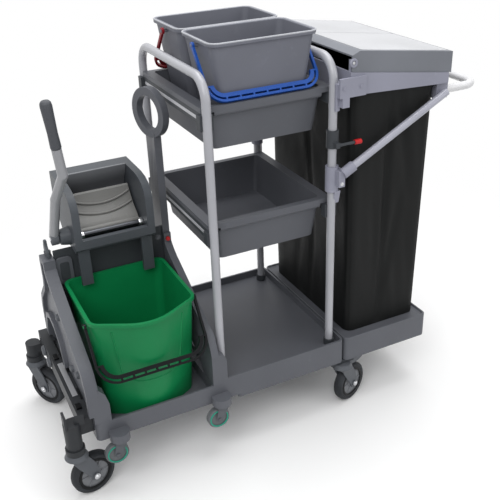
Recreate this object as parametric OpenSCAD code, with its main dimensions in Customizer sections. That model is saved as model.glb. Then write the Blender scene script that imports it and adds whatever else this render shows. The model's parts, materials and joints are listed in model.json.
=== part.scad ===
// Janitor cart: two moulded decks on castors, tube hoops with two trays and two pails,
// a mop bucket with a lever press at one end, and a bag holder with lid and push handle at the other.
// Millimetres. +X points to the push handle, -Y to the near side, +Z up. Z = 0 is the floor.

/* [Decks] */
// Distance from the middle of the cart to the bucket end of the base deck
base_left = 545; // [541:1:549]
// Distance from the middle of the cart to the bag end of the base deck
base_right = 184; // [182:1:186]
// Width of both decks
deck_width = 494; // [488:2:500]
// Height of the lower edge of the decks
deck_bottom = 160; // [158:1:162]
// Height of the rim of the middle platform and of the bag deck
deck_top = 236; // [233:1:240]
// Height of the wall of the bucket bay
bay_top = 224; // [221:1:227]
// Height of the floor of the middle platform
deck_floor = 214; // [212:1:216]
// Height of the floor under the bag
bag_floor = 231; // [229:1:233]
// Height of the floor of the bucket bay
bay_floor = 190; // [189:1:192]
// Wall thickness of the decks
deck_wall = 6; // [5:0.5:7]
// Corner radius of the decks
deck_corner = 14; // [10:1:18]
// Gap between the two decks
deck_gap = 4; // [3:0.5:5]
// Length of the bag deck
bag_deck_length = 284; // [281:1:288]
// Thickness of the plate that joins the decks
link_thickness = 12; // [10:1:12]
// Length of the plate that joins the decks
link_length = 76; // [70:2:84]

/* [Bucket end] */
// Thickness of the arched arms
arm_thickness = 20; // [18:1:21]
// Clear width between the arms
arm_gap = 302; // [301:1:303]
// Height of the top of the arms
arm_top = 548; // [545:1:552]
// How far the rim of the left arm stands out past its web
arm_rim = 11; // [8:1:13]
// Width of that rim along the edge of the arm
arm_rim_width = 16; // [12:1:20]
// How far the foot of the left arm reaches into the bay
arm_foot = 23; // [18:1:25]
// Length of the foot that the right arm puts on the middle platform
foot_length = 22; // [18:1:24]
// Height of the top of the plate that carries the press
apron_top = 566; // [564:1:570]
// How far the plate that carries the press reaches below the top of the arms
apron_drop = 212; // [196:2:214]
// Thickness of the plate that carries the press
apron_thickness = 8; // [6:1:9]
// Width of the cross member that carries the left castors
beam_width = 33; // [30:1:36]
// Height of the top of that cross member
beam_top = 240; // [236:1:246]

/* [Ring grip] */
// Height of the centre of the ring
ring_height = 885; // [875:1:895]
// Outer radius of the ring
ring_outer = 66; // [62:1:68]
// Inner radius of the ring
ring_inner = 45; // [42:1:47]
// Thickness of the ring
ring_thickness = 20; // [18:1:22]
// Turn of the ring about the vertical
ring_turn = 17; // [10:1:20]
// Depth of the column along the cart's width
column_depth = 64; // [60:1:64]
// Length of the tenon of the column
tenon_length = 54; // [40:1:60]
// Radius of the release button
button_r = 6; // [5:0.5:7]
// Travel of the release button
button_travel = 4; // [3:0.5:4]

/* [Hoops and trays] */
// Outer diameter of the hoop tube
tube_d = 22; // [20:0.5:23]
// Wall thickness of the tubes
tube_wall = 2; // [1.5:0.25:3]
// Distance of the left hoop from the middle of the cart
hoop_left = 182; // [180:1:184]
// Distance of the right hoop from the middle of the cart
hoop_right = 154; // [152:1:155]
// Distance of the posts from the lengthwise middle plane
post_y = 211; // [209:1:212]
// Height of the middle line of the hoops' top bars
hoop_top = 1030; // [1028:1:1034]
// Bend radius of the hoops
hoop_bend = 55; // [52:1:57]
// Wall thickness of the clips and sleeves on the posts
sleeve_wall = 6; // [5:0.5:6]
// Wall thickness of the collars at the feet of the posts
collar_wall = 4; // [3:0.5:4.5]
// Width of the rails that the trays hang on
rail_d = 16; // [14:1:18]
// Height of the rails
rail_h = 30; // [26:1:32]
// Height of the rim of the upper tray
upper_rim = 960; // [956:1:964]
// Height of the rim of the middle tray
middle_rim = 665; // [655:1:675]
// Depth of a tray
tray_depth = 112; // [106:1:114]
// Wall thickness of a tray
tray_wall = 3.5; // [3:0.5:4]
// Thickness of the tray flange
flange_thickness = 12; // [10:1:14]
// Half width of a tray's tub at the top, along the cart
tub_half_x = 154; // [152:1:155]
// Half width of a tray's tub at the top, across the cart
tub_half_y = 184; // [183:1:185]
// Inward slope of a tray's tub from rim to bottom
tub_taper = 14; // [12:1:15]

/* [Pails] */
// Length of a pail at its rim
pail_length = 284; // [280:1:286]
// Depth of a pail at its rim
pail_width = 186; // [182:1:188]
// Height of the pails' rims
pail_rim = 1098; // [1092:1:1102]
// Length of a pail at its bottom
pail_base_length = 204; // [198:1:208]
// Depth of a pail at its bottom
pail_base_width = 134; // [128:1:136]
// Wall thickness of the pails and the bucket
pail_wall = 3; // [2.5:0.5:3.5]
// Overhang of the rims of the pails and the bucket
lip = 6; // [5:0.5:7]
// Height of the rims of the pails and the bucket
lip_height = 9; // [7:1:10]
// Radius of the bail pins
bail_pin_r = 4; // [3.5:0.25:4.5]
// Thickness of the bail strip
bail_strip = 6; // [5:0.25:6.5]
// Width of the bail strip
bail_band = 9; // [8:0.5:10]
// Reach of the pail bails
bail_reach = 150; // [149:1:153]

/* [Mop bucket] */
// Length of the bucket at its rim
bucket_length = 280; // [276:1:282]
// Height of the bucket's rim
bucket_rim = 480; // [477:1:482]
// Distance of the bucket's bowed front from the middle plane
bucket_front = 256; // [252:1:257]
// Distance of the bucket's straight back from the middle plane
bucket_back = 52; // [50:1:53]
// Length of the bucket at its bottom
bucket_base_length = 240; // [234:1:246]
// Reach of the bucket's bail
bucket_bail_reach = 156; // [154:1:160]

/* [Mop press] */
// Length of the press housing
press_length = 216; // [212:1:220]
// Thickness of the side plates of the press
side_plate = 20; // [18:1:22]
// Radius of the lever shaft
shaft_r = 6; // [5:0.5:6.5]
// Height of the lever shaft
shaft_height = 599; // [597:1:601]
// Radius of the rod across the mouth of the press
rod_r = 7; // [6:0.5:7.5]
// Length of the press plate from the shaft
jaw_length = 108; // [104:1:112]
// Radius of the lever tube
lever_r = 12.5; // [11.5:0.5:13]
// Radius of the lever grip
grip_r = 14.5; // [13.5:0.5:15.5]

/* [Bag end] */
// Half width of the bag frame across the cart
frame_half = 235; // [234:0.5:236]
// Wall thickness of the bag frame
frame_wall = 7; // [6:0.5:8]
// Left end of the bag frame
frame_left = 188; // [187:1:190]
// Right end of the bag frame
frame_right = 488; // [486:1:492]
// Height of the bag frame at its left end
frame_top_left = 997; // [995:1:999]
// Height of the bag frame at its right end
frame_top_right = 954; // [952:1:957]
// Height of the lid at its left end
lid_left = 46; // [44:1:48]
// Height of the lid at its right end
lid_right = 54; // [50:1:58]
// Wall thickness of the lid
lid_wall = 4; // [3:0.5:5]
// Radius of the lid pins
lid_pin_r = 4; // [3.5:0.25:4.5]
// Length of the bag at its top
bag_length = 256; // [250:1:260]
// Half width of the bag across the cart
bag_half = 221; // [218:1:222]
// Height of the top of the bag
bag_top = 950; // [946:1:952]
// Thickness of the bag wall
bag_wall = 3; // [2:0.5:4]
// Right end of the push handle
handle_end = 626.5; // [618:0.5:634]
// Height of the push handle
handle_height = 900; // [897:1:903]
// Distance of the push handle's legs from the middle plane
handle_y = 203; // [201:1:205]
// Bend radius of the push handle
handle_bend = 46; // [40:1:52]
// Diameter of the diagonal braces
brace_d = 20; // [18:0.5:21]
// Radius of the stubs that hold the braces
stub_r = 5; // [4:0.5:6]

/* [Large castors] */
// Radius of the large wheels
wheel_r = 60; // [58:0.5:60.5]
// Width of the large wheels
wheel_width = 28; // [26:1:30]
// Thickness of the tyre
tyre_thickness = 13; // [11:0.5:15]
// Trail of the large castors
trail = 36; // [34:1:37]
// Radius of the large axles
axle_r = 5; // [4.5:0.25:5.5]
// Radius of the large swivel stems
stem_r = 6; // [5.5:0.25:6.5]
// Thickness of the fork legs
fork_leg = 4; // [3.5:0.25:4.5]

/* [Small castors] */
// Radius of the small wheels
roller_r = 31; // [29:0.5:31.5]
// Width of the small wheels
roller_width = 18; // [16:1:19]
// Height of the small axles
roller_height = 130; // [129:0.25:131]
// Trail of the small castors
roller_trail = 14; // [12:0.5:15]
// Radius of the small axles
roller_axle_r = 3; // [2.75:0.25:3.5]
// Radius of the small swivel stems
roller_stem_r = 4; // [3.5:0.25:4.5]
// Radius of the ears that hold the small castors
ear_r = 26; // [24:1:28]

/* [Fits] */
// Free gap between pieces that move past each other
gap = 0.5; // [0.4:0.05:0.6]
// Radial clearance of a turning fit
run_fit = 0.06; // [0.04:0.01:0.08]
// Radial clearance of a seated fit
seat_fit = 0.1; // [0.05:0.01:0.15]

/* [Hidden] */
$fn = 48;
tube_r = tube_d / 2;
deck_half = deck_width / 2;
bag_deck_x = base_right + deck_gap;
bag_deck_end = bag_deck_x + bag_deck_length;
link_bottom = deck_bottom - link_thickness;
link_mid = base_right + deck_gap / 2;
left_arm_x = -base_left;
bay_x = left_arm_x + arm_thickness;
right_arm_x = bay_x + arm_gap;
platform_x = right_arm_x + arm_thickness;
bay_mid = bay_x + arm_gap / 2;
arm_front = deck_half;
arm_foot_depth = 32;
beam_height = 46;
beam_boss_r = 21;
far_boss_top = beam_top - 34;
apron_y = 60;
column_y = 54;
column_x = right_arm_x + arm_thickness / 2;
ring_x = column_x - 5;
ring_y = column_y + column_depth / 2 - 8;
button_y = 46;
button_z = arm_top - 16;
button_length = 16;
tenon_y = button_y + button_length + button_travel + 4;
tenon_thickness = 10;
tray_x = (hoop_right - hoop_left) / 2;
hoop_span = (hoop_right + hoop_left) / 2;
flange_x = hoop_span + 8;
flange_y = post_y - tube_r - 2;
sleeve_r = tube_r + sleeve_wall;
tray_floor = upper_rim - tray_depth + tray_wall;
pail_bottom = tray_floor + gap;
pail_y = pail_width / 2 + 4;
bail_z = pail_rim - 18;
bail_half = pail_length / 2 + 1 + bail_strip / 2;
rail_step = 5;
bail_rail = 10;
bail_inner = bail_reach - bail_strip - rail_step - bail_rail;
pail_slope = (pail_width / 2 - lip - pail_base_width / 2) / (pail_rim - 1 - pail_bottom);
wall_lean = [bail_inner + pail_slope * bail_band / 2, pail_slope * bail_inner - bail_band / 2];
wall_reach = pail_base_width / 2 + pail_slope * (bail_z - pail_bottom) + gap;
wall_rest = atan2(wall_lean[1], wall_lean[0]) + acos(min(1, wall_reach / norm(wall_lean)));
tray_drop = max(0, min(1, (bail_z - upper_rim - gap) / norm([bail_reach, bail_band / 2])));
tray_rest = asin(tray_drop) - atan2(bail_band / 2, bail_reach);
bail_rest = min(wall_rest, tray_rest);
bucket_bottom = bay_floor + gap;
bucket_pivot_y = -170;
bucket_pivot_z = bucket_rim - 18;
bucket_bail_half = bucket_length / 2 + 1 + bail_strip / 2;
bucket_bail_rest = 54;
press_mid = bay_mid + 7;
press_x = press_mid - press_length / 2;
press_end = press_mid + press_length / 2;
shaft_y = apron_y + 5;
rod_y = shaft_y - 23;
rod_z = shaft_height + 4;
rod_seat = 12;
press_top = apron_top + 165;
press_back = 204;
leg_low = bucket_rim - 14;
lever_x = bay_x + 11;
jaw_half = press_length / 2 - side_plate - 5;
grip_start = [lever_x + 25, -16, shaft_height + 267];
grip_end = [lever_x + 15, -21, shaft_height + 387];
hook_y = -post_y - 24;
hook_z = handle_height - 81;
frame_end = frame_right - frame_wall - 4;
frame_low = frame_top_right - 26;
clamp_bar = upper_rim - 22;
frame_slope = (frame_top_right - frame_top_left) / (frame_right - frame_left);
lid_half = frame_half - 2;
hinge_x = frame_left + 8;
hinge_z = frame_top_left + 21;
bag_x = frame_left + 17;
bag_bottom = bag_floor + gap;
brace_r = brace_d / 2;
brace_y = bag_half + 5 + brace_r;
brace_low = [hoop_right + 24, handle_height - 156];
brace_high = [frame_right - 16, handle_height - 2];
brace_turn = atan2(brace_high[1] - brace_low[1], brace_high[0] - brace_low[0]);
brace_length = norm(brace_high - brace_low);
crown_top = link_bottom - gap;
stem_left = [-base_left - 55, deck_half - 19];
stem_right = [link_mid + 4, deck_half - 17];
roller_stem_left = [-base_left + 55, deck_half + 11];
roller_stem_right = [platform_x - 4, deck_half + 11];
roller_top = roller_height + roller_r;
ear_bottom = roller_top + 9;
ear_top = ear_bottom + 24;
bay_bottom = ear_bottom;
skirt_x = roller_stem_right[0] + roller_trail + roller_r + 8;
deck_grey = [0.36, 0.37, 0.39];
tube_grey = [0.62, 0.62, 0.65];
dark = [0.16, 0.17, 0.18];
steel = [0.8, 0.8, 0.82];

// Shared shapes

// Rectangle with rounded corners around the origin
module rounded(half_x, half_y, r) {
  square([2 * half_x, 2 * (half_y - r)], center = true);
  square([2 * (half_x - r), 2 * half_y], center = true);
  for (sx = [-1, 1], sy = [-1, 1])
    translate([sx * (half_x - r), sy * (half_y - r)]) circle(r);
}

// Four upright corner posts whose hull is a rounded slab
module corner_posts(half_x, half_y, r, z) {
  for (sx = [-1, 1], sy = [-1, 1])
    translate([sx * (half_x - r), sy * (half_y - r), z]) cylinder(r = r, h = 0.5, $fn = 32);
}

// Closed body that narrows towards its bottom
module tapered(top_x, top_y, low_x, low_y, r, low, high) {
  hull() {
    corner_posts(top_x, top_y, r, high - 0.5);
    corner_posts(low_x, low_y, r, low);
  }
}

// Round bar between two points
module rod(a, b, r) {
  v = b - a;
  translate(a)
    rotate([0, acos(v[2] / norm(v)), atan2(v[1], v[0])])
      cylinder(r = r, h = norm(v), $fn = 32);
}

// Both sides of the cart
module both_sides() {
  children();
  mirror([0, 1, 0]) children();
}

// Tube bent to a U in the XY plane: legs along -X, bar along Y
module u_tube(reach, half, bend, r) {
  for (s = [-1, 1]) {
    translate([0, s * half, 0]) rotate([0, 90, 0]) cylinder(r = r, h = reach - bend);
    translate([reach - bend, s * (half - bend), 0])
      rotate([0, 0, s > 0 ? 0 : -90])
        rotate_extrude(angle = 90) translate([bend, 0]) circle(r);
  }
  translate([reach, -(half - bend), 0]) rotate([-90, 0, 0]) cylinder(r = r, h = 2 * (half - bend));
}

// Hollow tube bent to a U, open at both ends
module u_pipe(reach, half, bend, r) {
  difference() {
    u_tube(reach, half, bend, r);
    u_tube(reach, half, bend, r - tube_wall);
  }
}

// Decks and cross members

// Tray-shaped deck with a rim, a floor and a hollow underside
module deck_shell(x0, x1, top, floor_z) {
  mid = (x0 + x1) / 2;
  half = (x1 - x0) / 2;
  difference() {
    translate([mid, 0, deck_bottom]) linear_extrude(top - deck_bottom)
      rounded(half, deck_half, deck_corner);
    translate([mid, 0, floor_z]) linear_extrude(top)
      rounded(half - deck_wall, deck_half - deck_wall, deck_corner - deck_wall + 2);
    translate([mid, 0, deck_bottom - 1]) linear_extrude(floor_z - deck_wall - deck_bottom + 1)
      rounded(half - deck_wall, deck_half - deck_wall, deck_corner - deck_wall + 2);
  }
}

// Ears that carry the small castors beside the deck wall
module castor_ears(stem) {
  translate([stem[0], -stem[1], ear_bottom]) intersection() {
    cylinder(r = ear_r, h = ear_top - ear_bottom);
    translate([-ear_r, -ear_r, 0]) cube([2 * ear_r, ear_r + stem[1] - deck_half + deck_wall / 2, 90]);
  }
}

module base_deck() color(deck_grey) {
  platform_in = platform_x + 4;
  platform_mid = (platform_in + base_right - deck_wall) / 2;
  platform_half = (base_right - deck_wall - platform_in) / 2;
  difference() {
    union() {
      translate([(base_right - base_left) / 2, 0, bay_bottom]) linear_extrude(bay_top - bay_bottom)
        rounded((base_right + base_left) / 2, deck_half, deck_corner);
      translate([(right_arm_x + base_right) / 2, 0, bay_bottom])
        linear_extrude(deck_top - bay_bottom)
          rounded((base_right - right_arm_x) / 2, deck_half, deck_corner);
      translate([(skirt_x + base_right) / 2, 0, deck_bottom])
        linear_extrude(bay_bottom + 20 - deck_bottom)
          rounded((base_right - skirt_x) / 2, deck_half, deck_corner);
      both_sides() {
        castor_ears(roller_stem_left);
        castor_ears(roller_stem_right);
      }
    }
    translate([bay_mid, 0, bay_floor]) linear_extrude(200)
      rounded(arm_gap / 2, deck_half - deck_wall, 8);
    translate([platform_mid, 0, deck_floor]) linear_extrude(200)
      rounded(platform_half, deck_half - deck_wall, 10);
    translate([right_arm_x - 1, -deck_half - 1, bay_top])
      cube([arm_thickness + 1, deck_width + 2, 100]);
    translate([bay_mid, 0, deck_bottom - 1])
      linear_extrude(bay_floor - deck_wall - deck_bottom + 1)
        rounded(arm_gap / 2 + arm_thickness - deck_wall, deck_half - deck_wall, 8);
    translate([platform_mid, 0, deck_bottom - 1])
      linear_extrude(deck_floor - deck_wall - deck_bottom + 1)
        rounded(platform_half, deck_half - deck_wall, 8);
    both_sides() for (s = [roller_stem_left, roller_stem_right])
      translate([s[0], -s[1], ear_bottom - 1]) cylinder(r = roller_stem_r + run_fit, h = 20);
  }
}

module bag_deck() color(deck_grey)
  deck_shell(bag_deck_x, bag_deck_end, deck_top, bag_floor);

module link_beam() color(dark) difference() {
  translate([link_mid - link_length / 2, -deck_half + 8, link_bottom])
    cube([link_length, deck_width - 16, link_thickness]);
  both_sides() translate([stem_right[0], -stem_right[1], link_bottom - 1])
    cylinder(r = stem_r + run_fit, h = link_thickness + 2);
}

module caster_beam() color(dark) difference() {
  union() {
    translate([-base_left - beam_width, -stem_left[1], beam_top - beam_height])
      cube([beam_width, 2 * stem_left[1], beam_height]);
    translate([stem_left[0], -stem_left[1], link_bottom]) cylinder(r = beam_boss_r, h = beam_top - link_bottom);
    translate([stem_left[0], -stem_left[1], beam_top - beam_height])
      cube([-base_left - stem_left[0], beam_boss_r, beam_height]);
    translate([stem_left[0] - 19, -stem_left[1] - 18, beam_top - 8]) cube([6, 30, 40]);
    translate([stem_left[0] + 6, -stem_left[1] - 10, beam_top - 8]) cube([26, 6, 28]);
    translate([stem_left[0], stem_left[1], link_bottom]) cylinder(r = beam_boss_r, h = far_boss_top - link_bottom);
    translate([stem_left[0], stem_left[1] - beam_boss_r, far_boss_top - 28])
      cube([-base_left - stem_left[0], beam_boss_r, 28]);
    both_sides() translate([stem_left[0], -stem_left[1], link_bottom]) cylinder(r = 25, h = 16);
  }
  both_sides() translate([stem_left[0], -stem_left[1], link_bottom - 1])
    cylinder(r = stem_r + run_fit, h = 32);
}

module beam_plate() color(steel)
  translate([-base_left - 24, -130, beam_top]) cube([14, 160, 2.5]);

// Bucket end

// Outline of an arm in the YZ plane
module arm_outline() {
  front = -arm_front;
  t = arm_top;
  b = bay_top;
  polygon([[front, b], [front, t - 236], [front + 4, t - 220], [front + 20, t - 186], [front + 36, t - 172],
           [-123, t - 128], [-43, t - 84], [10, t - 56], [32, t - 40], [button_y, t - 26], [button_y, t],
           [118, t], [140, t - 16], [154, t - 43], [166, t - 88], [172, t - 128], [166, t - 168], [146, t - 228],
           [134, t - 262], [128, b], [64, b], [58, b + 38], [30, b + 60], [-20, b + 70], [-75, b + 69],
           [-120, b + 58], [-160, b + 34], [-182, b]]);
}

// Arm plate that starts at the given X
module arm_plate(x) {
  translate([x, 0, 0]) rotate([90, 0, 90]) linear_extrude(arm_thickness) arm_outline();
}

// Outline of the left arm in the YZ plane: its rear leg flares back over an arch
module left_arm_outline() {
  front = -arm_front;
  t = arm_top;
  b = bay_top;
  polygon([[front, b], [front, t - 236], [front + 4, t - 220], [front + 20, t - 186], [front + 36, t - 172],
           [-123, t - 128], [-43, t - 84], [10, t - 56], [32, t - 40], [button_y, t - 26], [button_y, t],
           [96, t], [102, t - 16], [102, t - 70], [112, t - 100], [140, t - 124], [180, t - 160], [200, t - 200],
           [206, t - 250], [202, b], [174, b], [170, b + 62], [152, b + 98], [112, b + 116], [64, b + 108],
           [26, b + 78], [8, b + 34], [4, b]]);
}

module left_arm() color(deck_grey) {
  translate([left_arm_x, 0, 0]) rotate([90, 0, 90]) linear_extrude(arm_thickness) left_arm_outline();
  translate([left_arm_x - arm_rim, 0, 0]) rotate([90, 0, 90]) linear_extrude(arm_rim + 1) intersection() {
    difference() {
      left_arm_outline();
      offset(delta = -arm_rim_width) left_arm_outline();
    }
    translate([-arm_front - 1, beam_top + 8]) square([deck_width + 2, arm_top]);
  }
  translate([0, arm_foot_depth - arm_front, 0]) rotate([90, 0, 0]) linear_extrude(arm_foot_depth)
    polygon([[bay_x - 1, bay_top], [bay_x + arm_foot, bay_top], [bay_x + arm_foot, bay_top + 52],
             [bay_x + arm_foot - 8, bay_top + 82], [bay_x - 1, bay_top + 100]]);
  translate([left_arm_x + arm_thickness / 2, 84, arm_top - 1]) cylinder(r = 9, h = 13);
}

module right_arm() color(deck_grey) difference() {
  union() {
    arm_plate(right_arm_x);
    translate([platform_x - 1, -arm_front, deck_top]) cube([foot_length + 1, 21, 60]);
    translate([platform_x - 1, -arm_front, deck_top + 60]) rotate([-90, 0, 0]) linear_extrude(21)
      polygon([[0, 0], [foot_length + 1, 0], [foot_length - 5, -14], [0, -20]]);
  }
  translate([column_x - tenon_thickness / 2 - seat_fit, tenon_y - seat_fit, arm_top - tenon_length - seat_fit])
    cube([tenon_thickness + 2 * seat_fit, 40 + 2 * seat_fit, tenon_length + 1]);
  translate([column_x, button_y - 1, button_z]) rotate([-90, 0, 0])
    cylinder(r = button_r + run_fit, h = tenon_y - button_y - 1);
}

module ring_handle() color(deck_grey) {
  translate([column_x - tenon_thickness / 2, tenon_y, arm_top - tenon_length])
    cube([tenon_thickness, 40, tenon_length + 1]);
  difference() {
    union() {
      translate([column_x - 10, column_y, arm_top]) cube([20, column_depth, ring_height - ring_outer - arm_top + 14]);
      translate([ring_x, ring_y, ring_height]) rotate([0, 0, ring_turn]) rotate([0, 90, 0])
        cylinder(r = ring_outer, h = ring_thickness, center = true, $fn = 72);
    }
    translate([ring_x, ring_y, ring_height]) rotate([0, 0, ring_turn]) rotate([0, 90, 0])
      cylinder(r = ring_inner, h = 90, center = true, $fn = 72);
  }
}

module lock_button() color([0.75, 0.06, 0.06])
  translate([column_x, button_y - 6, button_z]) rotate([-90, 0, 0]) cylinder(r = button_r, h = button_length);

module wringer_bracket() color(dark)
  translate([bay_x, apron_y, arm_top - apron_drop])
    cube([arm_gap, apron_thickness, apron_top - arm_top + apron_drop]);

// Hoops, trays and pails

// Inverted U that stands on the platform floor
module hoop(x) color(tube_grey)
  translate([x, 0, deck_floor]) rotate([0, -90, 0]) u_pipe(hoop_top - deck_floor, post_y, hoop_bend, tube_r);

module left_hoop() hoop(-hoop_left);

module right_hoop() hoop(hoop_right);

// Places its children at the four post positions
module at_posts() {
  for (x = [-hoop_left, hoop_right], s = [-1, 1])
    translate([x, s * post_y, 0]) children();
}

module hoop_collars() color(dark) at_posts() difference() {
  translate([0, 0, deck_floor]) cylinder(r = tube_r + collar_wall, h = deck_top - deck_floor - 2);
  translate([0, 0, deck_floor - 1]) cylinder(r = tube_r + seat_fit, h = 40);
}

// Height of the underside of the rails below a tray rim
function rail_low(rim) = rim - flange_thickness - rail_h;

module tray_rails() color(dark)
  for (x = [-hoop_left, hoop_right], z = [upper_rim, middle_rim])
    translate([x - rail_d / 2, -(post_y - tube_r - seat_fit), rail_low(z)])
      cube([rail_d, 2 * (post_y - tube_r - seat_fit), rail_h]);

// One saddle clip behind a near post, under the end of its rail
module rail_clip(x, z) {
  difference() {
    translate([x - sleeve_r, -post_y + 1, rail_low(z) - 8]) cube([2 * sleeve_r, sleeve_r + 5, rail_h + 7]);
    translate([x, -post_y, rail_low(z) - 20]) cylinder(r = tube_r + seat_fit, h = 80);
    translate([x - rail_d / 2 - seat_fit, -post_y, rail_low(z) - seat_fit])
      cube([rail_d + 2 * seat_fit, 60, 80]);
  }
}

module rail_clips() color(dark) both_sides() {
  rail_clip(-hoop_left, upper_rim);
  rail_clip(-hoop_left, middle_rim);
  rail_clip(hoop_right, middle_rim);
}

// Open tub with a flange that rests on two rails and a thick lip front and back
module tray(rim) color(deck_grey) translate([tray_x, 0, 0]) {
  low = rim - tray_depth;
  difference() {
    union() {
      tapered(tub_half_x, tub_half_y, tub_half_x - tub_taper, tub_half_y - tub_taper, 16, low, rim - 1);
      translate([0, 0, rim - flange_thickness]) linear_extrude(flange_thickness)
        rounded(flange_x, flange_y, 6);
      both_sides() translate([-hoop_span + sleeve_r + 8, -flange_y + 10, rim - 15]) rotate([0, 90, 0])
        cylinder(r = 10, h = 2 * (hoop_span - sleeve_r - 8));
    }
    tapered(tub_half_x - tray_wall, tub_half_y - tray_wall, tub_half_x - tub_taper - tray_wall,
            tub_half_y - tub_taper - tray_wall, 13, low + tray_wall, rim + 1);
  }
}

module upper_tray() tray(upper_rim);

module middle_tray() tray(middle_rim);

// Small pail with pins for its bail
module pail() {
  difference() {
    union() {
      tapered(pail_length / 2 - lip, pail_width / 2 - lip, pail_base_length / 2, pail_base_width / 2, 20,
              pail_bottom, pail_rim - 1);
      translate([0, 0, pail_rim - lip_height]) linear_extrude(lip_height)
        rounded(pail_length / 2, pail_width / 2, 26);
      translate([0, 0, bail_z]) rotate([0, 90, 0])
        cylinder(r = bail_pin_r, h = 2 * bail_half + bail_strip + 3, center = true);
    }
    tapered(pail_length / 2 - lip - pail_wall, pail_width / 2 - lip - pail_wall,
            pail_base_length / 2 - pail_wall, pail_base_width / 2 - pail_wall, 17,
            pail_bottom + pail_wall, pail_rim + 1);
  }
}

module near_pail() color(tube_grey) translate([tray_x, -pail_y, 0]) pail();

module far_pail() color(tube_grey) translate([tray_x, pail_y, 0]) pail();

// Flat area of a U whose legs run along +Y from its bar
module u_area(half, reach, corner) {
  translate([-half, -(reach - corner)]) square([2 * half, reach - corner + 30]);
  translate([-(half - corner), -reach]) square([2 * (half - corner), reach]);
  for (s = [-1, 1]) translate([s * (half - corner), -(reach - corner)]) circle(corner);
}

// Band of one width along the edge of a U
module u_band(half, reach, corner, width) {
  difference() {
    u_area(half, reach, corner);
    u_area(half - width, reach - width, corner - width);
  }
}

// Bail with eyes on the X axis and a second rail along its bar
module bail(half, reach, corner) {
  outer = half + bail_strip / 2;
  inset = bail_strip + rail_step;
  difference() {
    union() {
      translate([0, 0, -bail_band / 2]) linear_extrude(bail_band) {
        difference() {
          u_band(outer, reach, corner, bail_strip);
          translate([-outer - 1, 0]) square([2 * outer + 2, 60]);
        }
        intersection() {
          u_band(outer - inset, reach - inset, corner - inset, bail_rail);
          translate([-outer, -reach]) square([2 * outer, corner]);
        }
        for (s = [-1, 1])
          translate([s * (outer - (inset + bail_rail) / 2), -(reach - corner) - 2])
            square([inset + bail_rail, 4], center = true);
        for (i = [-3:3])
          translate([i * (outer - corner) / 3, -reach + (inset + bail_rail) / 2])
            square([4, inset + bail_rail], center = true);
      }
      for (s = [-1, 1]) translate([s * half, 0, 0]) rotate([0, 90, 0])
        cylinder(r = bail_pin_r + 4, h = bail_strip, center = true);
    }
    rotate([0, 90, 0]) cylinder(r = bail_pin_r + run_fit, h = 3 * half, center = true);
  }
}

module near_pail_bail() color([0.11, 0.37, 0.84])
  translate([tray_x, -pail_y, bail_z]) rotate([bail_rest, 0, 0]) bail(bail_half, bail_reach, 44);

module far_pail_bail() color([0.54, 0.06, 0.12])
  translate([tray_x, pail_y, bail_z]) mirror([0, 1, 0]) rotate([bail_rest, 0, 0])
    bail(bail_half, bail_reach, 44);

// Upright posts whose hull is the bowed outline of the bucket
module bowed_posts(half, back, corner_y, front, bow, inset, z, h) {
  for (s = [-1, 1]) {
    translate([s * (half - 26), back - 26, z]) cylinder(r = 26 - inset, h = h, $fn = 32);
    translate([s * (half - 30), corner_y, z]) cylinder(r = 30 - inset, h = h, $fn = 32);
  }
  translate([0, -front + bow, z]) cylinder(r = bow - inset, h = h, $fn = 64);
}

// Tapered body of the bucket, inset by a wall thickness
module bucket_body(inset, low, high) {
  hull() {
    bowed_posts(bucket_length / 2 - lip, bucket_back - lip, -bucket_front + 80, bucket_front - lip, 116,
                inset, high - 0.5, 0.5);
    bowed_posts(bucket_base_length / 2, bucket_back - 26, -bucket_front + 96, bucket_front - 26, 100,
                inset, low, 0.5);
  }
}

module mop_bucket() color([0.12, 0.48, 0.29]) translate([bay_mid, 0, 0]) difference() {
  union() {
    bucket_body(0, bucket_bottom, bucket_rim - 1);
    hull() bowed_posts(bucket_length / 2, bucket_back, -bucket_front + 80, bucket_front, 122, 0,
                       bucket_rim - lip_height, lip_height);
    translate([0, bucket_pivot_y, bucket_pivot_z]) rotate([0, 90, 0])
      cylinder(r = bail_pin_r, h = 2 * bucket_bail_half + bail_strip + 3, center = true);
  }
  bucket_body(pail_wall, bucket_bottom + pail_wall, bucket_rim + 1);
}

module mop_bucket_bail() color(dark)
  translate([bay_mid, bucket_pivot_y, bucket_pivot_z]) rotate([bucket_bail_rest, 0, 0])
    bail(bucket_bail_half, bucket_bail_reach, 56);

// Mop press

// Outline of a side plate of the press in the YZ plane
module side_outline() {
  polygon([[4, apron_top + 12], [4, press_top - 49], [10, press_top - 31], [24, press_top - 15],
           [46, press_top - 5], [80, press_top], [press_back, press_top], [press_back, press_top - 91],
           [press_back - 54, apron_top + 24], [120, apron_top], [20, apron_top]]);
}

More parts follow.
